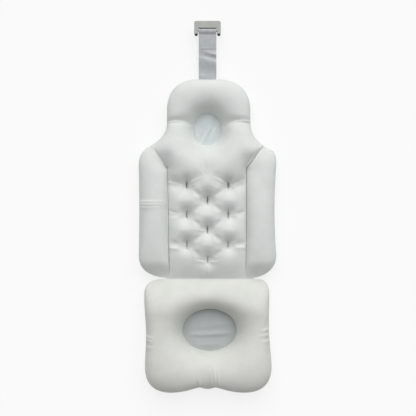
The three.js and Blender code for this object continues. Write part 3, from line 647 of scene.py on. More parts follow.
def fabric_plan(outline, holes, seams, step=FABRIC_STEP):
    """Points and triangles of a plan. seams pairs each inner line with the distances of its rings."""
    loop = evenly_spaced(closed(outline), step)[:-1]
    for line, _ in seams:
        for end in (line[0], line[-1]):
            away = np.hypot(*(loop - end).T)
            if away.min() < step:
                loop[away.argmin()] = end
    edge_rings = round_steps(EDGE_ROUND, step, EDGE_RINGS)
    fixed = [(closed(loop), edge_rings)]
    fixed += [(evenly_spaced(closed(hole), step), edge_rings) for hole in holes]
    fixed += [(evenly_spaced(line, step), rings) for line, rings in seams]
    ring_points = [beside(line, rings) for line, rings in fixed]
    candidates = np.vstack([points for points, _ in ring_points])
    keep = np.concatenate([distances for _, distances in ring_points])
    grid = hexagon_points(loop.min(axis=0), loop.max(axis=0), step)
    grid_clear = np.ones(len(grid), bool)
    candidate_clear = np.ones(len(candidates), bool)
    for line, rings in fixed:
        grid_clear &= distance_to(grid, line) > rings[-1] + GRID_CLEARANCE * step
        candidate_clear &= distance_to(candidates, line) > RING_CLEARANCE * keep
    spread = np.vstack([*(line for line, _ in fixed), candidates[candidate_clear], grid[grid_clear]])
    edges = []
    start = 0
    for line, _ in fixed:
        edges += [(start + i, start + i + 1) for i in range(len(line) - 1)]
        start += len(line)
    points, triangles = triangulated(spread, edges, MERGE_DISTANCE)
    middles = points[triangles].mean(axis=1)
    wanted = inside(middles, sides_of(loop))
    for hole in holes:
        wanted &= ~inside(middles, sides_of(hole))
    return only(points, triangles, wanted)


def lifted(points, heights):
    return np.column_stack([points[:, 0], points[:, 1] + HINGE_Y, heights])


def add_object(name, data):
    made = bpy.data.objects.new(name, data)
    bpy.context.scene.collection.objects.link(made)
    return made


def new_object(name, points, faces):
    mesh = bpy.data.meshes.new(name)
    mesh.from_pydata([tuple(point) for point in points], [], [tuple(map(int, face)) for face in faces])
    mesh.update()
    return add_object(name, mesh)


def points_of(mesh):
    flat = np.empty(len(mesh.vertices) * 3)
    mesh.vertices.foreach_get("co", flat)
    return flat.reshape(-1, 3)


def triangles_of(mesh):
    mesh.calc_loop_triangles()
    flat = np.empty(len(mesh.loop_triangles) * 3, np.int32)
    mesh.loop_triangles.foreach_get("vertices", flat)
    return flat.reshape(-1, 3)


def normals_of(points, triangles):
    a, b, c = (points[triangles[:, i]] for i in range(3))
    across = np.cross(b - a, c - a)
    normals = np.zeros_like(points)
    for i in range(3):
        np.add.at(normals, triangles[:, i], across)
    return normals / np.maximum(np.linalg.norm(normals, axis=1), TINY)[:, None]


def boundary_of(triangles):
    """The edges that only one triangle has, in the direction that it has them."""
    edges = np.vstack([triangles[:, [0, 1]], triangles[:, [1, 2]], triangles[:, [2, 0]]])
    known = set(map(tuple, edges))
    return np.array([edge for edge in edges if (edge[1], edge[0]) not in known])


def select_only(piece):
    bpy.ops.object.select_all(action="DESELECT")
    piece.select_set(True)
    bpy.context.view_layer.objects.active = piece


def thickened(piece, thickness, offset):
    wall = piece.modifiers.new("Solidify", "SOLIDIFY")
    wall.thickness = thickness
    wall.offset = offset
    wall.use_even_offset = True
    select_only(piece)
    bpy.ops.object.modifier_apply(modifier=wall.name)


# Settling under the fibre's pressure

HELD_NEAR = 0.05 * MM
SETTLE_FRAMES = 22
SETTLE_LIMIT = 2 * MM
EVENING_ROUNDS = 12
CLOTH_SETTINGS = {
    "quality": 6, "vertex_group_mass": "held", "shrink_min": -0.004, "use_pressure": True,
    "uniform_pressure_force": 0.4, "tension_stiffness": 12, "compression_stiffness": 12,
    "shear_stiffness": 4, "bending_stiffness": 0.2,
}


def evened(shifts, triangles, held):
    """Shifts averaged with their neighbours' a few times, which takes out ripples of the mesh's own size."""
    starts = triangles.ravel()
    ends = np.roll(triangles, 1, axis=1).ravel()
    count = np.bincount(starts, minlength=len(shifts)) + np.bincount(ends, minlength=len(shifts))
    for _ in range(EVENING_ROUNDS):
        total = np.zeros_like(shifts)
        np.add.at(total, starts, shifts[ends])
        np.add.at(total, ends, shifts[starts])
        shifts = np.where(held[:, None], 0, total / np.maximum(count, 1)[:, None])
    return shifts


def settled(points, triangles, held):
    """Fabric that has settled, held along its seams. No point moves further than the limit."""
    cloth_piece = new_object("settling_fabric", points, triangles)
    group = cloth_piece.vertex_groups.new(name="held")
    group.add([int(i) for i in np.flatnonzero(held)], 1, "REPLACE")
    cloth = cloth_piece.modifiers.new("Cloth", "CLOTH")
    for setting, value in CLOTH_SETTINGS.items():
        setattr(cloth.settings, setting, value)
    cloth.settings.effector_weights.gravity = 0
    cloth.collision_settings.use_collision = False
    cloth.point_cache.frame_end = SETTLE_FRAMES
    for number in range(1, SETTLE_FRAMES + 1):
        bpy.context.scene.frame_set(number)
    result = points_of(cloth_piece.evaluated_get(bpy.context.evaluated_depsgraph_get()).data)
    bpy.data.objects.remove(cloth_piece)
    bpy.context.scene.frame_set(1)
    moved = evened(result - points, triangles, held)
    length = np.linalg.norm(moved, axis=1)
    share = np.minimum(1, SETTLE_LIMIT / np.maximum(length, TINY))
    return points + moved * share[:, None]


def blown_fabric(outline, well, seams, height_of):
    """A cushion's settled top: its plan, its shape, its triangles, and the lines that hold it."""
    plan, triangles = fabric_plan(outline, [well], seams)
    lines = [outline, closed(well), *(line for line, _ in seams)]
    held = np.min([distance_to(plan, line) for line in lines], axis=0) < HELD_NEAR
    held[np.unique(boundary_of(triangles))] = True
    start = lifted(plan, height_of(plan, triangles))
    return plan, settled(start, triangles, held), triangles, lines


# Folds in the fabric, each a ridge with a steep flank and a gentle one, that fades out along a line

STEEP_FLANK = 1.4 * MM
GENTLE_FLANK = 4 * MM
FOLD_FADE = 4 * MM
LEAST_FOLD = 0.01 * MM


def subdivided(points, triangles):
    """Each triangle cut in four, with the new points on a smooth surface."""
    piece = new_object("fine_fabric", points, triangles)
    select_only(piece)
    bpy.ops.object.mode_set(mode="EDIT")
    bpy.ops.mesh.select_all(action="SELECT")
    bpy.ops.mesh.normals_make_consistent(inside=False)
    bpy.ops.mesh.subdivide(number_cuts=1, smoothness=0.7)
    bpy.ops.object.mode_set(mode="OBJECT")
    result = points_of(piece.data), triangles_of(piece.data)
    bpy.data.objects.remove(piece)
    return result


def ridge(points, line, height):
    """Heights of a fold. A positive one has its steep flank on the left of the line's direction."""
    away, side, share = from_line(points, line)
    flank = np.where(side * height > 0, STEEP_FLANK, GENTLE_FLANK)
    return abs(height) * bell(away, flank) * np.cos(math.pi / 2 * share)


def folded(points, triangles, folds, seams):
    """The fabric with its folds raised. They fade close to the seams, which stay in place."""
    plan = points[:, :2] - [0, HINGE_Y]
    shift = np.sum([ridge(plan, line, height) for line, height in folds], axis=0)
    moved = shift > LEAST_FOLD
    away = np.min([distance_to(plan[moved], line) for line in seams], axis=0)
    shift[moved] *= smooth(away, 0, FOLD_FADE)
    return points + normals_of(points, triangles) * shift[:, None]


def fold(start, bend, end, *sizes):
    """A curve from the fold's strong end, with its height and any other sizes, all in mm."""
    line = curve(np.array(start) * MM, np.array(bend) * MM, np.array(end) * MM)
    return line, *(size * MM for size in sizes)


CENTRE_FOLDS = [
    fold((-70, 262.5), (-45, 274), (-14, 250), 1.5),
    fold((-70, 258.5), (-40, 265), (-10, 250), 1.3),
    fold((74, 265.5), (50, 274), (14, 246), -1.8),
    fold((74, 259.5), (50, 266), (20, 248), -1.4),
    fold((-2.3, 182), (-2.3, 206), (-2.3, 234), 1.6),
    fold((-33, 159), (-20, 169), (-4, 173), 1.4),
    fold((-34, 154), (-22, 161), (-12, 163), 0.9),
    fold((33, 158), (20, 169), (4, 173), -1.4),
    fold((34, 153), (24, 159), (12, 163), -0.9),
    fold((-68, 164), (-56, 161), (-40, 157), 1.3),
    fold((38, 156), (50, 160), (68, 169), 1.3),
    fold((-68, 112), (-52, 111), (-38, 106), 1.4),
    fold((68, 111), (54, 110), (40, 106), -0.9),
    fold((-3, 81), (-16, 83), (-31, 87), -1.2),
    fold((4, 80), (14, 83), (26, 84), 0.6),
    fold((-68, 53), (-54, 52), (-38, 50), 1.7),
    fold((68, 54), (54, 54), (38, 51), -1.5),
    fold((-4, 29), (-14, 29), (-27, 33), -1.3),
    fold((4, 29), (14, 28), (26, 33), 1.3),
    fold((0, 11), (0.5, 18), (0, 30), 1.2),
]
LEFT_BOLSTER_FOLDS = [
    fold((-117, 131), (-90, 131), (-52, 131.5), 1.4),
    fold((-117, 126), (-90, 126), (-52, 126.5), 1.4),
    fold((-117, 120.5), (-92, 120.5), (-60, 121.5), 0.9),
]
RIGHT_BOLSTER_FOLDS = [
    fold((73, 189), (81, 203), (93, 221), 1.0),
]
SEAT_FOLDS = [
    fold((-107, -94), (-100, -98), (-88, -99), 2.2),
    fold((-107, -103), (-100, -104), (-90, -104), 2.0),
    fold((-107, -114), (-98, -115), (-86, -116), 1.2),
    fold((107, -82), (99, -86), (88, -87), -2.0),
    fold((107, -91), (98, -95), (84, -95), -1.8),
    fold((108, -103), (99, -106), (88, -105), -1.6),
    fold((15, -184), (13, -162), (9, -134), -2.6),
    fold((9, -183), (8, -168), (5, -146), -1.7),
    fold((21, -182), (18, -164), (16, -142), -1.8),
    fold((-14, -184), (-15, -174), (-17, -158), 2.2),
    fold((-4, -186), (-4, -174), (-3, -156), -1.2),
]


# Materials

TONE_ENDS = (0.3, 0.7)
WAVE_PITCH = 0.314
SMOOTH_ANGLE = math.radians(50)


def new_material(name):
    material = bpy.data.materials.new(name)
    material.use_nodes = True
    return material, material.node_tree, material.node_tree.nodes["Principled BSDF"]


def feed(tree, socket, value):
    """Links another node's output to a socket, or sets the socket's own value."""
    if isinstance(value, bpy.types.NodeSocket):
        tree.links.new(value, socket)
    else:
        socket.default_value = value


def feed_all(tree, node, inputs):
    for name, value in inputs.items():
        feed(tree, node.inputs[name.replace("_", " ")], value)


def add_node(tree, kind, settings=None, **inputs):
    made = tree.nodes.new(kind)
    for name, value in (settings or {}).items():
        setattr(made, name, value)
    feed_all(tree, made, inputs)
    return made


def add_math(tree, operation, first, second):
    made = add_node(tree, "ShaderNodeMath", {"operation": operation})
    feed(tree, made.inputs[0], first)
    feed(tree, made.inputs[1], second)
    return made.outputs[0]


def object_place(tree):
    return add_node(tree, "ShaderNodeTexCoord").outputs["Object"]


def finish_surface(tree, surface, tones, mottle, height, bump, depth, **inputs):
    """Two mottled tones, a relief, and the surface's other inputs."""
    relief = add_node(tree, "ShaderNodeBump", Height=height, Strength=bump, Distance=depth)
    colours = add_node(tree, "ShaderNodeValToRGB", Fac=mottle.outputs["Fac"])
    for element, tone, end in zip(colours.color_ramp.elements, tones, TONE_ENDS):
        element.color = (*tone, 1)
        element.position = end
    inputs["Base_Color"] = colours.outputs["Color"]
    inputs["Normal"] = relief.outputs["Normal"]
    feed_all(tree, surface, inputs)
    return relief


def knit_material(name, dark, light, stitch, bump):
    """Soft knit: small raised stitches, faint mottling, and a sheen at glancing angles."""
    material, tree, surface = new_material(name)
    place = object_place(tree)
    stitches = add_node(tree, "ShaderNodeTexVoronoi", Vector=place, Scale=1 / stitch, Randomness=0.35)
    mottle = add_node(tree, "ShaderNodeTexNoise", Vector=place, Scale=45, Detail=4, Roughness=0.6)
    nap = add_node(tree, "ShaderNodeTexNoise", Vector=place, Scale=420, Detail=2)
    height = add_math(tree, "ADD", stitches.outputs["Distance"], nap.outputs["Fac"])
    relief = finish_surface(
        tree, surface, (dark, light), mottle, height, bump, 0.2 * MM,
        Roughness=0.92, Specular_IOR_Level=0.2, Sheen_Weight=0.12, Sheen_Roughness=0.5,
    )
    relief.invert = True
    return material


def satin_material(name, dark, light, thread, bump):
    """Smooth lining: a fine close weave with a faint satin shine."""
    material, tree, surface = new_material(name)
    place = object_place(tree)
    weave = add_node(tree, "ShaderNodeTexVoronoi", Vector=place, Scale=1 / thread, Randomness=0.2)
    mottle = add_node(tree, "ShaderNodeTexNoise", Vector=place, Scale=30, Detail=3)
    finish_surface(
        tree, surface, (dark, light), mottle, weave.outputs["Distance"], bump, 0.1 * MM,
        Roughness=0.6, Specular_IOR_Level=0.35,
    )
    return material


def ribbed_material(name, dark, light, rib, bump):
    """Webbing: ribs across its width that follow its own length, with a satin shine."""
    material, tree, surface = new_material(name)
    along = add_node(tree, "ShaderNodeUVMap").outputs["UV"]
    ribs = add_node(
        tree, "ShaderNodeTexWave", {"bands_direction": "Y"}, Vector=along, Scale=WAVE_PITCH / rib,
        Distortion=0.4, Detail=2, Detail_Scale=3,
    )
    mottle = add_node(tree, "ShaderNodeTexNoise", Vector=along, Scale=160, Detail=3)
    finish_surface(
        tree, surface, (dark, light), mottle, ribs.outputs["Fac"], bump, 0.15 * MM,
        Roughness=0.35, Specular_IOR_Level=1,
    )
    return material


def grained_material(name, dark, light, grain, bump, roughness):
    """Moulded plastic or rubber: a fine cast grain, faint mottling and an even roughness."""
    material, tree, surface = new_material(name)
    place = object_place(tree)
    cast = add_node(tree, "ShaderNodeTexNoise", Vector=place, Scale=1 / grain, Detail=4, Roughness=0.6)
    mottle = add_node(tree, "ShaderNodeTexNoise", Vector=place, Scale=90, Detail=2)
    height = cast.outputs["Fac"]
    finish_surface(tree, surface, (dark, light), mottle, height, bump, 0.1 * MM, Roughness=roughness)
    return material


COVER = knit_material(
    "soft_knit", dark=(0.722, 0.745, 0.727), light=(0.772, 0.795, 0.777), stitch=1.1 * MM, bump=0.35
)
SEAT_COVER = knit_material(
    "soft_knit_seat", dark=(0.685, 0.692, 0.655), light=(0.735, 0.742, 0.705), stitch=1.1 * MM, bump=0.35
)
REAR = knit_material(
    "rear_weave", dark=(0.66, 0.68, 0.665), light=(0.70, 0.72, 0.705), stitch=0.9 * MM, bump=0.45
)
# The two well linings are one satin in lit and shaded copies: the seat's is painted darker, painted shade for
# its deep well.
HEAD_LINING = satin_material(
    "head_lining_satin", dark=(0.62, 0.665, 0.67), light=(0.70, 0.745, 0.75), thread=0.5 * MM, bump=0.25
)
# Painted shade: the same satin as the head's lining, darkened for the shadow in the seat's deep well.
SEAT_LINING_PAINTED_SHADE = satin_material(
    "seat_lining_satin", dark=(0.435, 0.46, 0.465), light=(0.48, 0.506, 0.511), thread=0.5 * MM, bump=0.25
)
THREAD = satin_material(
    "sewing_thread", dark=(0.56, 0.58, 0.56), light=(0.66, 0.68, 0.66), thread=0.3 * MM, bump=0.4
)
WEBBING = ribbed_material(
    "strap_webbing", dark=(0.325, 0.343, 0.365), light=(0.395, 0.413, 0.431), rib=0.9 * MM, bump=0.5
)
PLASTIC = grained_material(
    "moulded_plastic", dark=(0.41, 0.41, 0.395), light=(0.46, 0.46, 0.445),
    grain=0.6 * MM, bump=0.3, roughness=0.5,
)
RUBBER = grained_material(
    "black_rubber", dark=(0.012, 0.012, 0.012), light=(0.022, 0.022, 0.022),
    grain=0.4 * MM, bump=0.4, roughness=0.65,
)


def dress(piece, material):
    piece.data.materials.clear()
    piece.data.materials.append(material)
    select_only(piece)
    bpy.ops.object.shade_smooth_by_angle(angle=SMOOTH_ANGLE)


def finish_piece(piece, material, body, nodes):
    """Dresses a piece, hangs it on its body's empty, and hides the solids that it stands for."""
    dress(piece, material)
    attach(piece, body)
    if nodes:
        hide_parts(*nodes)


# Cushions

COVER_THICKNESS = 1.2 * MM
PAD_CLEARANCE = COVER_THICKNESS + FIT
UNDERSIDE_STEP = 14 * MM
UNDERSIDE_CLEARANCE = 0.4
UNDERSIDE_MERGE = 1e-7
LEAST_RIM = 0.2 * MM
TACK_RINGS = np.array([0.7, 1.6, 2.8, 4.2]) * MM
SEAM_ROUND = 14 * MM
SEAM_RINGS = round_steps(SEAM_ROUND, FABRIC_STEP, 6)
REAR_STEP = 4 * MM


def closed_pad(name, top, triangles, outline):
    """A pad: its top, an upright rim along its seams, and an underside of few faces."""
    rim = boundary_of(triangles)
    rim_points, rim_edges = np.unique(rim, return_inverse=True)
    rim_edges = rim_edges.reshape(-1, 2)
    plan = top[rim_points][:, :2] - [0, HINGE_Y]
    sides = plan[rim_edges]
    grid = hexagon_points(plan.min(axis=0), plan.max(axis=0), UNDERSIDE_STEP)
    clear = np.min([distance_to(grid, side) for side in sides], axis=0) > UNDERSIDE_CLEARANCE * UNDERSIDE_STEP
    edges = [tuple(map(int, edge)) for edge in rim_edges]
    points, under = triangulated(np.vstack([plan, grid[clear]]), edges, UNDERSIDE_MERGE)
    within = inside(points[under].mean(axis=1), sides)
    heights = rear_height(points, outline, PAD_CLEARANCE) + PAD_CLEARANCE
    on_rim = slice(len(rim_points))
    heights[on_rim] = np.minimum(heights[on_rim], top[rim_points][:, 2] - LEAST_RIM)
    count = len(top)
    walls = []
    for (a, b), (low_a, low_b) in zip(rim, rim_edges + count):
        walls += [(b, a, low_a), (b, low_a, low_b)]
    faces = np.vstack([triangles, walls, under[within][:, ::-1] + count])
    shape = np.vstack([top, lifted(points, heights)])
    return new_object(name, *only(shape, faces, slice(None)))


def cushion_pad(name, shape, triangles, folds, lines, outline, material, body, nodes):
    top, faces = subdivided(shape, triangles)
    pad = closed_pad(name, folded(top, faces, folds, lines), faces, outline)
    finish_piece(pad, material, body, nodes)


def back_pads():
    seams = [(RIGHT_SEAM, SEAM_RINGS), (LEFT_SEAM, SEAM_RINGS)]
    seams += [(line, TACK_RINGS) for line in TACK_LINES]
    plan, shape, triangles, lines = blown_fabric(BACK_EDGE, HEAD_OPENING, seams, back_height)
    middles = plan[triangles].mean(axis=1)
    bolster = in_bolster(middles)
    part = only(shape, triangles, ~bolster)
    nodes = ["back_front_cover", "back_centre_fill"]
    cushion_pad("back_centre_pad", *part, CENTRE_FOLDS, lines, BACK_EDGE, COVER, "back", nodes)
    for side, sign, folds in (("left", -1, LEFT_BOLSTER_FOLDS), ("right", 1, RIGHT_BOLSTER_FOLDS)):
        part = only(shape, triangles, bolster & (sign * middles[:, 0] > 0))
        nodes = [side + "_bolster_cover", side + "_bolster_fill", side + "_baffle"]
        cushion_pad(side + "_bolster_pad", *part, folds, lines, BACK_EDGE, COVER, "back", nodes)


def seat_pad():
    _, shape, triangles, lines = blown_fabric(SEAT_EDGE, SEAT_OPENING, [], seat_height)
    nodes = ["seat_top_cover", "seat_fill"]
    cushion_pad("seat_pad", shape, triangles, SEAT_FOLDS, lines, SEAT_EDGE, SEAT_COVER, "seat", nodes)


def rear_panel(name, edge_line, body, node):
    """The cloth under a cushion, rounded up to its seams."""
    plan, triangles = fabric_plan(edge_line, [], [], REAR_STEP)
    panel = new_object(name, lifted(plan, rear_height(plan, edge_line)), triangles[:, ::-1])
    thickened(panel, COVER_THICKNESS, -1)
    finish_piece(panel, REAR, body, [node])


# Linings of the two wells, domed and drawn into a few soft folds. A fold has a trough beside its crest.

LINING_STEP = 2 * MM
LINING_THICKNESS = 0.8 * MM
LINING_FADE_END = 2.5 * PANEL_MARGIN
LINING_LEAST_Z = LINING_Z - 2 * MM
HEAD_LINING_PUFF = 4 * MM
SEAT_LINING_PUFF = 4.5 * MM
TROUGH_SHARE = 0.4
TROUGH_SHIFT = 1.8
TROUGH_WIDTH = 1.2
FOLD_END_SHARES = (0.02, 0.98)
# Each fold has its depth and its width.
HEAD_LINING_FOLDS = [
    fold((-17, 233), (-9, 248), (-2, 268), -2.0, 2.2),
    fold((-9, 230), (2, 247), (10, 270), -2.4, 2.6),
    fold((4, 232), (10, 246), (17, 262), -1.4, 2.6),
]
SEAT_LINING_FOLDS = [
    fold((-30, -97), (5, -94.5), (42, -94), -2.8, 3.4),
    fold((5, -80), (22, -79), (40, -77), 0.9, 2.6),
    fold((-22, -115), (5, -113), (28, -114), 0.8, 4.0),
]


def well_lining(name, node, body, middle, radii, puff, folds, material):
    opening = np.array(radii)
    radii = opening + PANEL_MARGIN
    rim = oval(middle, radii)
    plan, triangles = fabric_plan(rim, [], [], LINING_STEP)
    fade = smooth(distance_to(plan, closed(rim)), PANEL_MARGIN, LINING_FADE_END)
    dome = np.maximum(1 - (((plan - middle) / opening) ** 2).sum(axis=1), 0)
    height = LINING_Z - LINING_THICKNESS - FIT + puff * dome
    for line, depth, width in folds:
        away, side, share = from_line(plan, line)
        wave = np.sign(depth) * side * away / width
        crest = bell(wave, 1) - TROUGH_SHARE * bell(wave + TROUGH_SHIFT, TROUGH_WIDTH)
        height += fade * abs(depth) * crest * np.sqrt(np.sin(math.pi * np.clip(share, *FOLD_END_SHARES)))
    lining = new_object(name, lifted(plan, np.maximum(height, LINING_LEAST_Z)), triangles)
    thickened(lining, LINING_THICKNESS, 1)
    finish_piece(lining, material, body, [node])


# Thread: bar tacks, loop stitch and the welts along the bolsters' seams

THREAD_RADIUS = 0.3 * MM
TACK_TURNS = 11
POINTS_PER_TURN = 10
STITCH_HALF_WIDTH = 0.5 * MM
LOOP_STITCHES = 12
WELT_RADIUS = 0.9 * MM
WELT_LIFT = 4 * MM
WELT_SHIFT = -0.9 * MM
WELT_START = 8 * MM


def tube(name, points, radius, material, body, nodes):
    """A thread along the points, as a round tube."""
    data = bpy.data.curves.new(name, "CURVE")
    data.dimensions = "3D"
    data.bevel_depth = radius
    data.bevel_resolution = 1
    data.use_fill_caps = True
    line = data.splines.new("POLY")
    line.points.add(len(points) - 1)
    for place, point in zip(line.points, points):
        place.co = (*point, 1)
    select_only(add_object(name, data))
    bpy.ops.object.convert(target="MESH")
    piece = bpy.context.object
    piece.name = name
    finish_piece(piece, material, body, nodes)


def seam_welt(name, seam):
    """The narrow roll of cover fabric along a bolster's seam."""
    line = evenly_spaced(seam, FABRIC_STEP)
    line = line[line[:, 1] > WELT_START]
    height = sloped_to_hinge(seam_level(line) + WELT_LIFT, line, *BACK_SLOPE)
    tube(name, lifted(line + [WELT_SHIFT, 0], height), WELT_RADIUS, COVER, "back", [])


def tuft_stitches():
    """Bar tacks: each a thread wound closely over the slit of its tuft."""
    turn = np.linspace(0, 2 * math.pi * TACK_TURNS, TACK_TURNS * POINTS_PER_TURN + 1)
    for number, (node, tack) in enumerate(zip(TACK_NODES, TACKS), 1):
        half = half_size_of(node)
        place = np.array([[tack.x, tack.y - HINGE_Y]])
        lip = sloped_to_hinge(tack.z + TACK_LIP, place, *BACK_SLOPE)[0]
        x = tack.x + STITCH_HALF_WIDTH * np.cos(turn)
        y = tack.y + np.linspace(-1, 1, len(turn)) * (half.y - THREAD_RADIUS)
        z = lip - SLIT_DEPTH + (half.z - THREAD_RADIUS) * np.sin(turn)
        points = np.column_stack([x, y, z])
        tube(f"tuft_stitch_{number:02d}", points, THREAD_RADIUS, THREAD, "back", [node])


def strap_loop_stitch():
    middle = middle_of("loop_tack")
    half = half_size_of("loop_tack")
    steps = np.arange(2 * LOOP_STITCHES + 1)
    x = middle.x + np.linspace(-1, 1, len(steps)) * (half.x - THREAD_RADIUS)
    y = middle.y + np.where(steps % 2, 1, -1) * (half.y - THREAD_RADIUS)
    z = np.full(len(steps), middle.z + half.z / 2)
    points = np.column_stack([x, y, z])
    tube("strap_loop_stitch", points, THREAD_RADIUS, THREAD, "strap", ["loop_tack"])


# Webbing, on a path in Y and Z. Each bend has a height, and a spread to the left and right of its line.

STRAP_SEAM_GAP = 1 * MM
STRAP_HALF_WIDTH = half_size_of("strap_web").x
STRAP_THICKNESS = high_of("strap_anchor").z - low_of("strap_anchor").z
STRAP_FOOT = low_of("strap_anchor").y
STRAP_START = np.array([high_of("strap_anchor").y + STRAP_SEAM_GAP, SEAM_Z])
BAR = np.array(JOINTS["hook_swing"][1:])
LOOP_RADIUS = high_of("strap_web").y - STRAP_THICKNESS / 2 - BAR[0]
TAIL_LENGTH = 35 * MM
TAIL_GAP = 1.9 * MM
LOOP_APPROACH = 8 * MM
LOOP_DROP = 2.4 * MM
SEWN_SHARES = np.array([0, 0.3, 0.6, 0.85])
RUN_PULL = 0.3
APPROACH_PULL = 0.5
TAIL_PULLS = (0.4, 0.3)
RUN_ROWS = 80
APPROACH_ROWS = 16
LOOP_ROWS = 19
TAIL_ROWS = 30
STRAP_COLUMNS = 15
SHORT_BEND = 3.6
LONG_BEND = 12
STRAP_BENDS = [
    fold((14, 380.5), (5, 382.5), (-12, 386), 2.0, SHORT_BEND, SHORT_BEND),
    fold((14, 367), (-4, 372), (-30, 379), 2.4, LONG_BEND, SHORT_BEND),
    fold((-13, 344), (-4, 343), (6, 342), 0.6, SHORT_BEND, SHORT_BEND),
]


def strap_path():
    """Points along the middle of the webbing: sewn end, front run, loop round the bar, tail."""
    pull = np.array([RUN_PULL * (BAR[0] - STRAP_START[0]), 0])
    over = BAR + [0, LOOP_RADIUS]
    behind = over - [LOOP_APPROACH, LOOP_DROP]
    flat = curve(STRAP_START, STRAP_START + pull, behind - pull, behind, steps=RUN_ROWS)
    pull = np.array([APPROACH_PULL * LOOP_APPROACH, 0])
    climb = curve(behind, behind + pull, over - pull, over, steps=APPROACH_ROWS)
    front = np.vstack([flat, climb])
    turn = np.linspace(math.pi / 2, -math.pi / 2, LOOP_ROWS)
    loop = BAR + LOOP_RADIUS * np.column_stack([np.cos(turn), np.sin(turn)])
    under = loop[-1]
    end_y = BAR[0] - TAIL_LENGTH
    end = np.array([end_y, np.interp(end_y, front[:, 0], front[:, 1]) - TAIL_GAP])
    first, last = (np.array([share * TAIL_LENGTH, 0]) for share in TAIL_PULLS)
    tail = curve(under, under - first, end + last, end, steps=TAIL_ROWS)[1:]
    sewn_y = between(STRAP_FOOT, STRAP_START[0], SEWN_SHARES)
    sewn = np.column_stack([sewn_y, np.full(len(sewn_y), SEAM_Z)])
    return np.vstack([sewn, front, loop, tail, [end]])


def webbing_strap():
    path = strap_path()
    along = np.concatenate([[0], np.cumsum(np.hypot(*np.diff(path, axis=0).T))])
    across = np.linspace(-1, 1, STRAP_COLUMNS)
    points = np.array([(STRAP_HALF_WIDTH * x, y, z) for y, z in path for x in across])
    front = np.arange(len(points)) < STRAP_COLUMNS * (len(path) - TAIL_ROWS)
    for line, height, left_spread, right_spread in STRAP_BENDS:
        away, side, share = from_line(points[front, :2] - [0, HINGE_Y], line)
        spread = np.where(side > 0, left_spread, right_spread)
        points[front, 2] += height * bell(away, spread) * np.cos(math.pi / 2 * share)
    faces = []
    for row in range(len(path) - 1):
        for column in range(STRAP_COLUMNS - 1):
            corner = row * STRAP_COLUMNS + column
            faces.append((corner, corner + 1, corner + 1 + STRAP_COLUMNS, corner + STRAP_COLUMNS))
    strap = new_object("webbing_strap", points, faces)
    layer = strap.data.uv_layers.new(name="UVMap")
    for loop in strap.data.loops:
        row, column = divmod(loop.vertex_index, STRAP_COLUMNS)
        layer.data[loop.index].uv = (STRAP_HALF_WIDTH * across[column], along[row])
    thickened(strap, STRAP_THICKNESS, 0)
    dress(strap, WEBBING)
    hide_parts("strap_web", "strap_anchor")
    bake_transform(strap)


# Hinge and hook

HINGE_COLUMNS = 60
HINGE_ROWS = 12
HINGE_END_GAP = 1 * MM


def hinge_strip():
    """The cloth that joins the two cushions, as a flat strip between them."""
    low, high = low_of("hinge_tape").copy(), high_of("hinge_tape").copy()
    low.x = HINGE_END_GAP - LEFT_HINGE_HALF_LENGTH
    high.x = RIGHT_HINGE_HALF_LENGTH - HINGE_END_GAP
    size = high - low
    bpy.ops.object.select_all(action="DESELECT")
    bpy.ops.mesh.primitive_grid_add(
        x_subdivisions=HINGE_COLUMNS, y_subdivisions=HINGE_ROWS, size=1, location=(low + high) / 2
    )
    strip = bpy.context.object
    strip.name = "hinge_strip"
    strip.scale = (size.x, size.y, 1)
    bpy.ops.object.transform_apply(location=True, rotation=True, scale=True)
    thickened(strip, size.z, 0)
    dress(strip, REAR)
    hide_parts("hinge_tape")
    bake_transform(strip)


def dress_hook():
    for name, material in (("hook_body", PLASTIC), ("left_hook_tip", RUBBER), ("right_hook_tip", RUBBER)):
        frame["nodes"][name].data.materials.clear()
        frame["nodes"][name].data.materials.append(material)


back_pads()
seat_pad()
rear_panel("back_rear_panel", BACK_EDGE, "back", "back_rear_cover")
rear_panel("seat_bottom_panel", SEAT_EDGE, "seat", "seat_bottom_cover")
well_lining(
    "head_well_lining", "head_well_panel", "back", HEAD_WELL, HEAD_WELL_RADII, HEAD_LINING_PUFF,
    HEAD_LINING_FOLDS, HEAD_LINING,
)
# The seat's lining takes the satin copy with painted shade.
well_lining(
    "seat_well_lining", "seat_well_panel", "seat", SEAT_WELL, SEAT_WELL_RADII, SEAT_LINING_PUFF,
    SEAT_LINING_FOLDS, SEAT_LINING_PAINTED_SHADE,
)
seam_welt("left_seam_welt", LEFT_SEAM[:2])
seam_welt("right_seam_welt", RIGHT_SEAM)
tuft_stitches()
webbing_strap()
strap_loop_stitch()
hinge_strip()
dress_hook()


# Stage

FLOOR_SIZE = 30
FLOOR_Z = -0.5 * MM
FLOOR_GREY = 0.9
FLOOR_GLOW = 0.8
AMBIENT = 0.24
KEY = 0.79
KEY_ANGLE = math.radians(70)
KEY_FROM = (0.08, 0.62, 0.78)
WHITE = (1, 1, 1, 1)


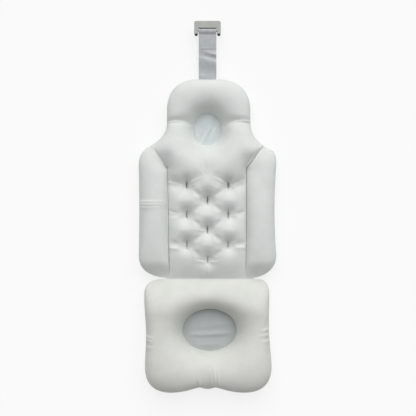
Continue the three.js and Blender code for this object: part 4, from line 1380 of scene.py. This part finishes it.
def seen_rays(tree):
    """1 for rays from the camera and for mirrored or refracted ones."""
    rays = add_node(tree, "ShaderNodeLightPath").outputs
    either = add_math(tree, "MAXIMUM", rays["Is Camera Ray"], rays["Is Glossy Ray"])
    return add_math(tree, "MAXIMUM", either, rays["Is Transmission Ray"])


def floor():
    bpy.ops.object.select_all(action="DESELECT")
    bpy.ops.mesh.primitive_plane_add(size=FLOOR_SIZE, location=(0, 0, FLOOR_Z))
    plane = bpy.context.object
    plane.name = "floor"
    material, tree, surface = new_material("pale_floor")
    colour = (FLOOR_GREY, FLOOR_GREY, FLOOR_GREY, 1)
    feed_all(tree, surface, {"Base Color": colour, "Roughness": 0.9, "Specular IOR Level": 0})
    white = add_node(tree, "ShaderNodeEmission", Color=WHITE, Strength=1)
    mix = add_node(tree, "ShaderNodeMixShader", Fac=add_math(tree, "MULTIPLY", seen_rays(tree), FLOOR_GLOW))
    tree.links.new(surface.outputs[0], mix.inputs[1])
    tree.links.new(white.outputs[0], mix.inputs[2])
    tree.links.new(mix.outputs[0], tree.nodes["Material Output"].inputs["Surface"])
    plane.data.materials.append(material)


def light():
    world = bpy.data.worlds.new("studio")
    bpy.context.scene.world = world
    world.use_nodes = True
    sky = world.node_tree
    level = add_node(sky, "ShaderNodeMapRange", Value=seen_rays(sky), To_Min=AMBIENT, To_Max=1)
    feed_all(sky, sky.nodes["Background"], {"Color": WHITE, "Strength": level.outputs[0]})
    lamp = bpy.data.lights.new("key_light", "SUN")
    lamp.energy = KEY * math.pi
    lamp.angle = KEY_ANGLE
    key = add_object("key_light", lamp)
    key.rotation_euler = Vector(KEY_FROM).to_track_quat("Z", "Y").to_euler()


# Camera, straight above. The frame's middle and width were measured on the picture.

FRAME_WIDTH = 707.2 * MM
FRAME_MIDDLE = (0.85 * MM, -2.15 * MM)
LENS = 135
SENSOR = 36
CLIP_END = 50


def camera():
    data = bpy.data.cameras.new("camera")
    data.lens = LENS
    data.sensor_width = SENSOR
    data.clip_end = CLIP_END
    eye = add_object("camera", data)
    eye.location = (*FRAME_MIDDLE, SEAM_Z + FRAME_WIDTH * LENS / SENSOR)
    bpy.context.scene.camera = eye
    bpy.context.scene.view_settings.view_transform = "Standard"


floor()
light()
camera()
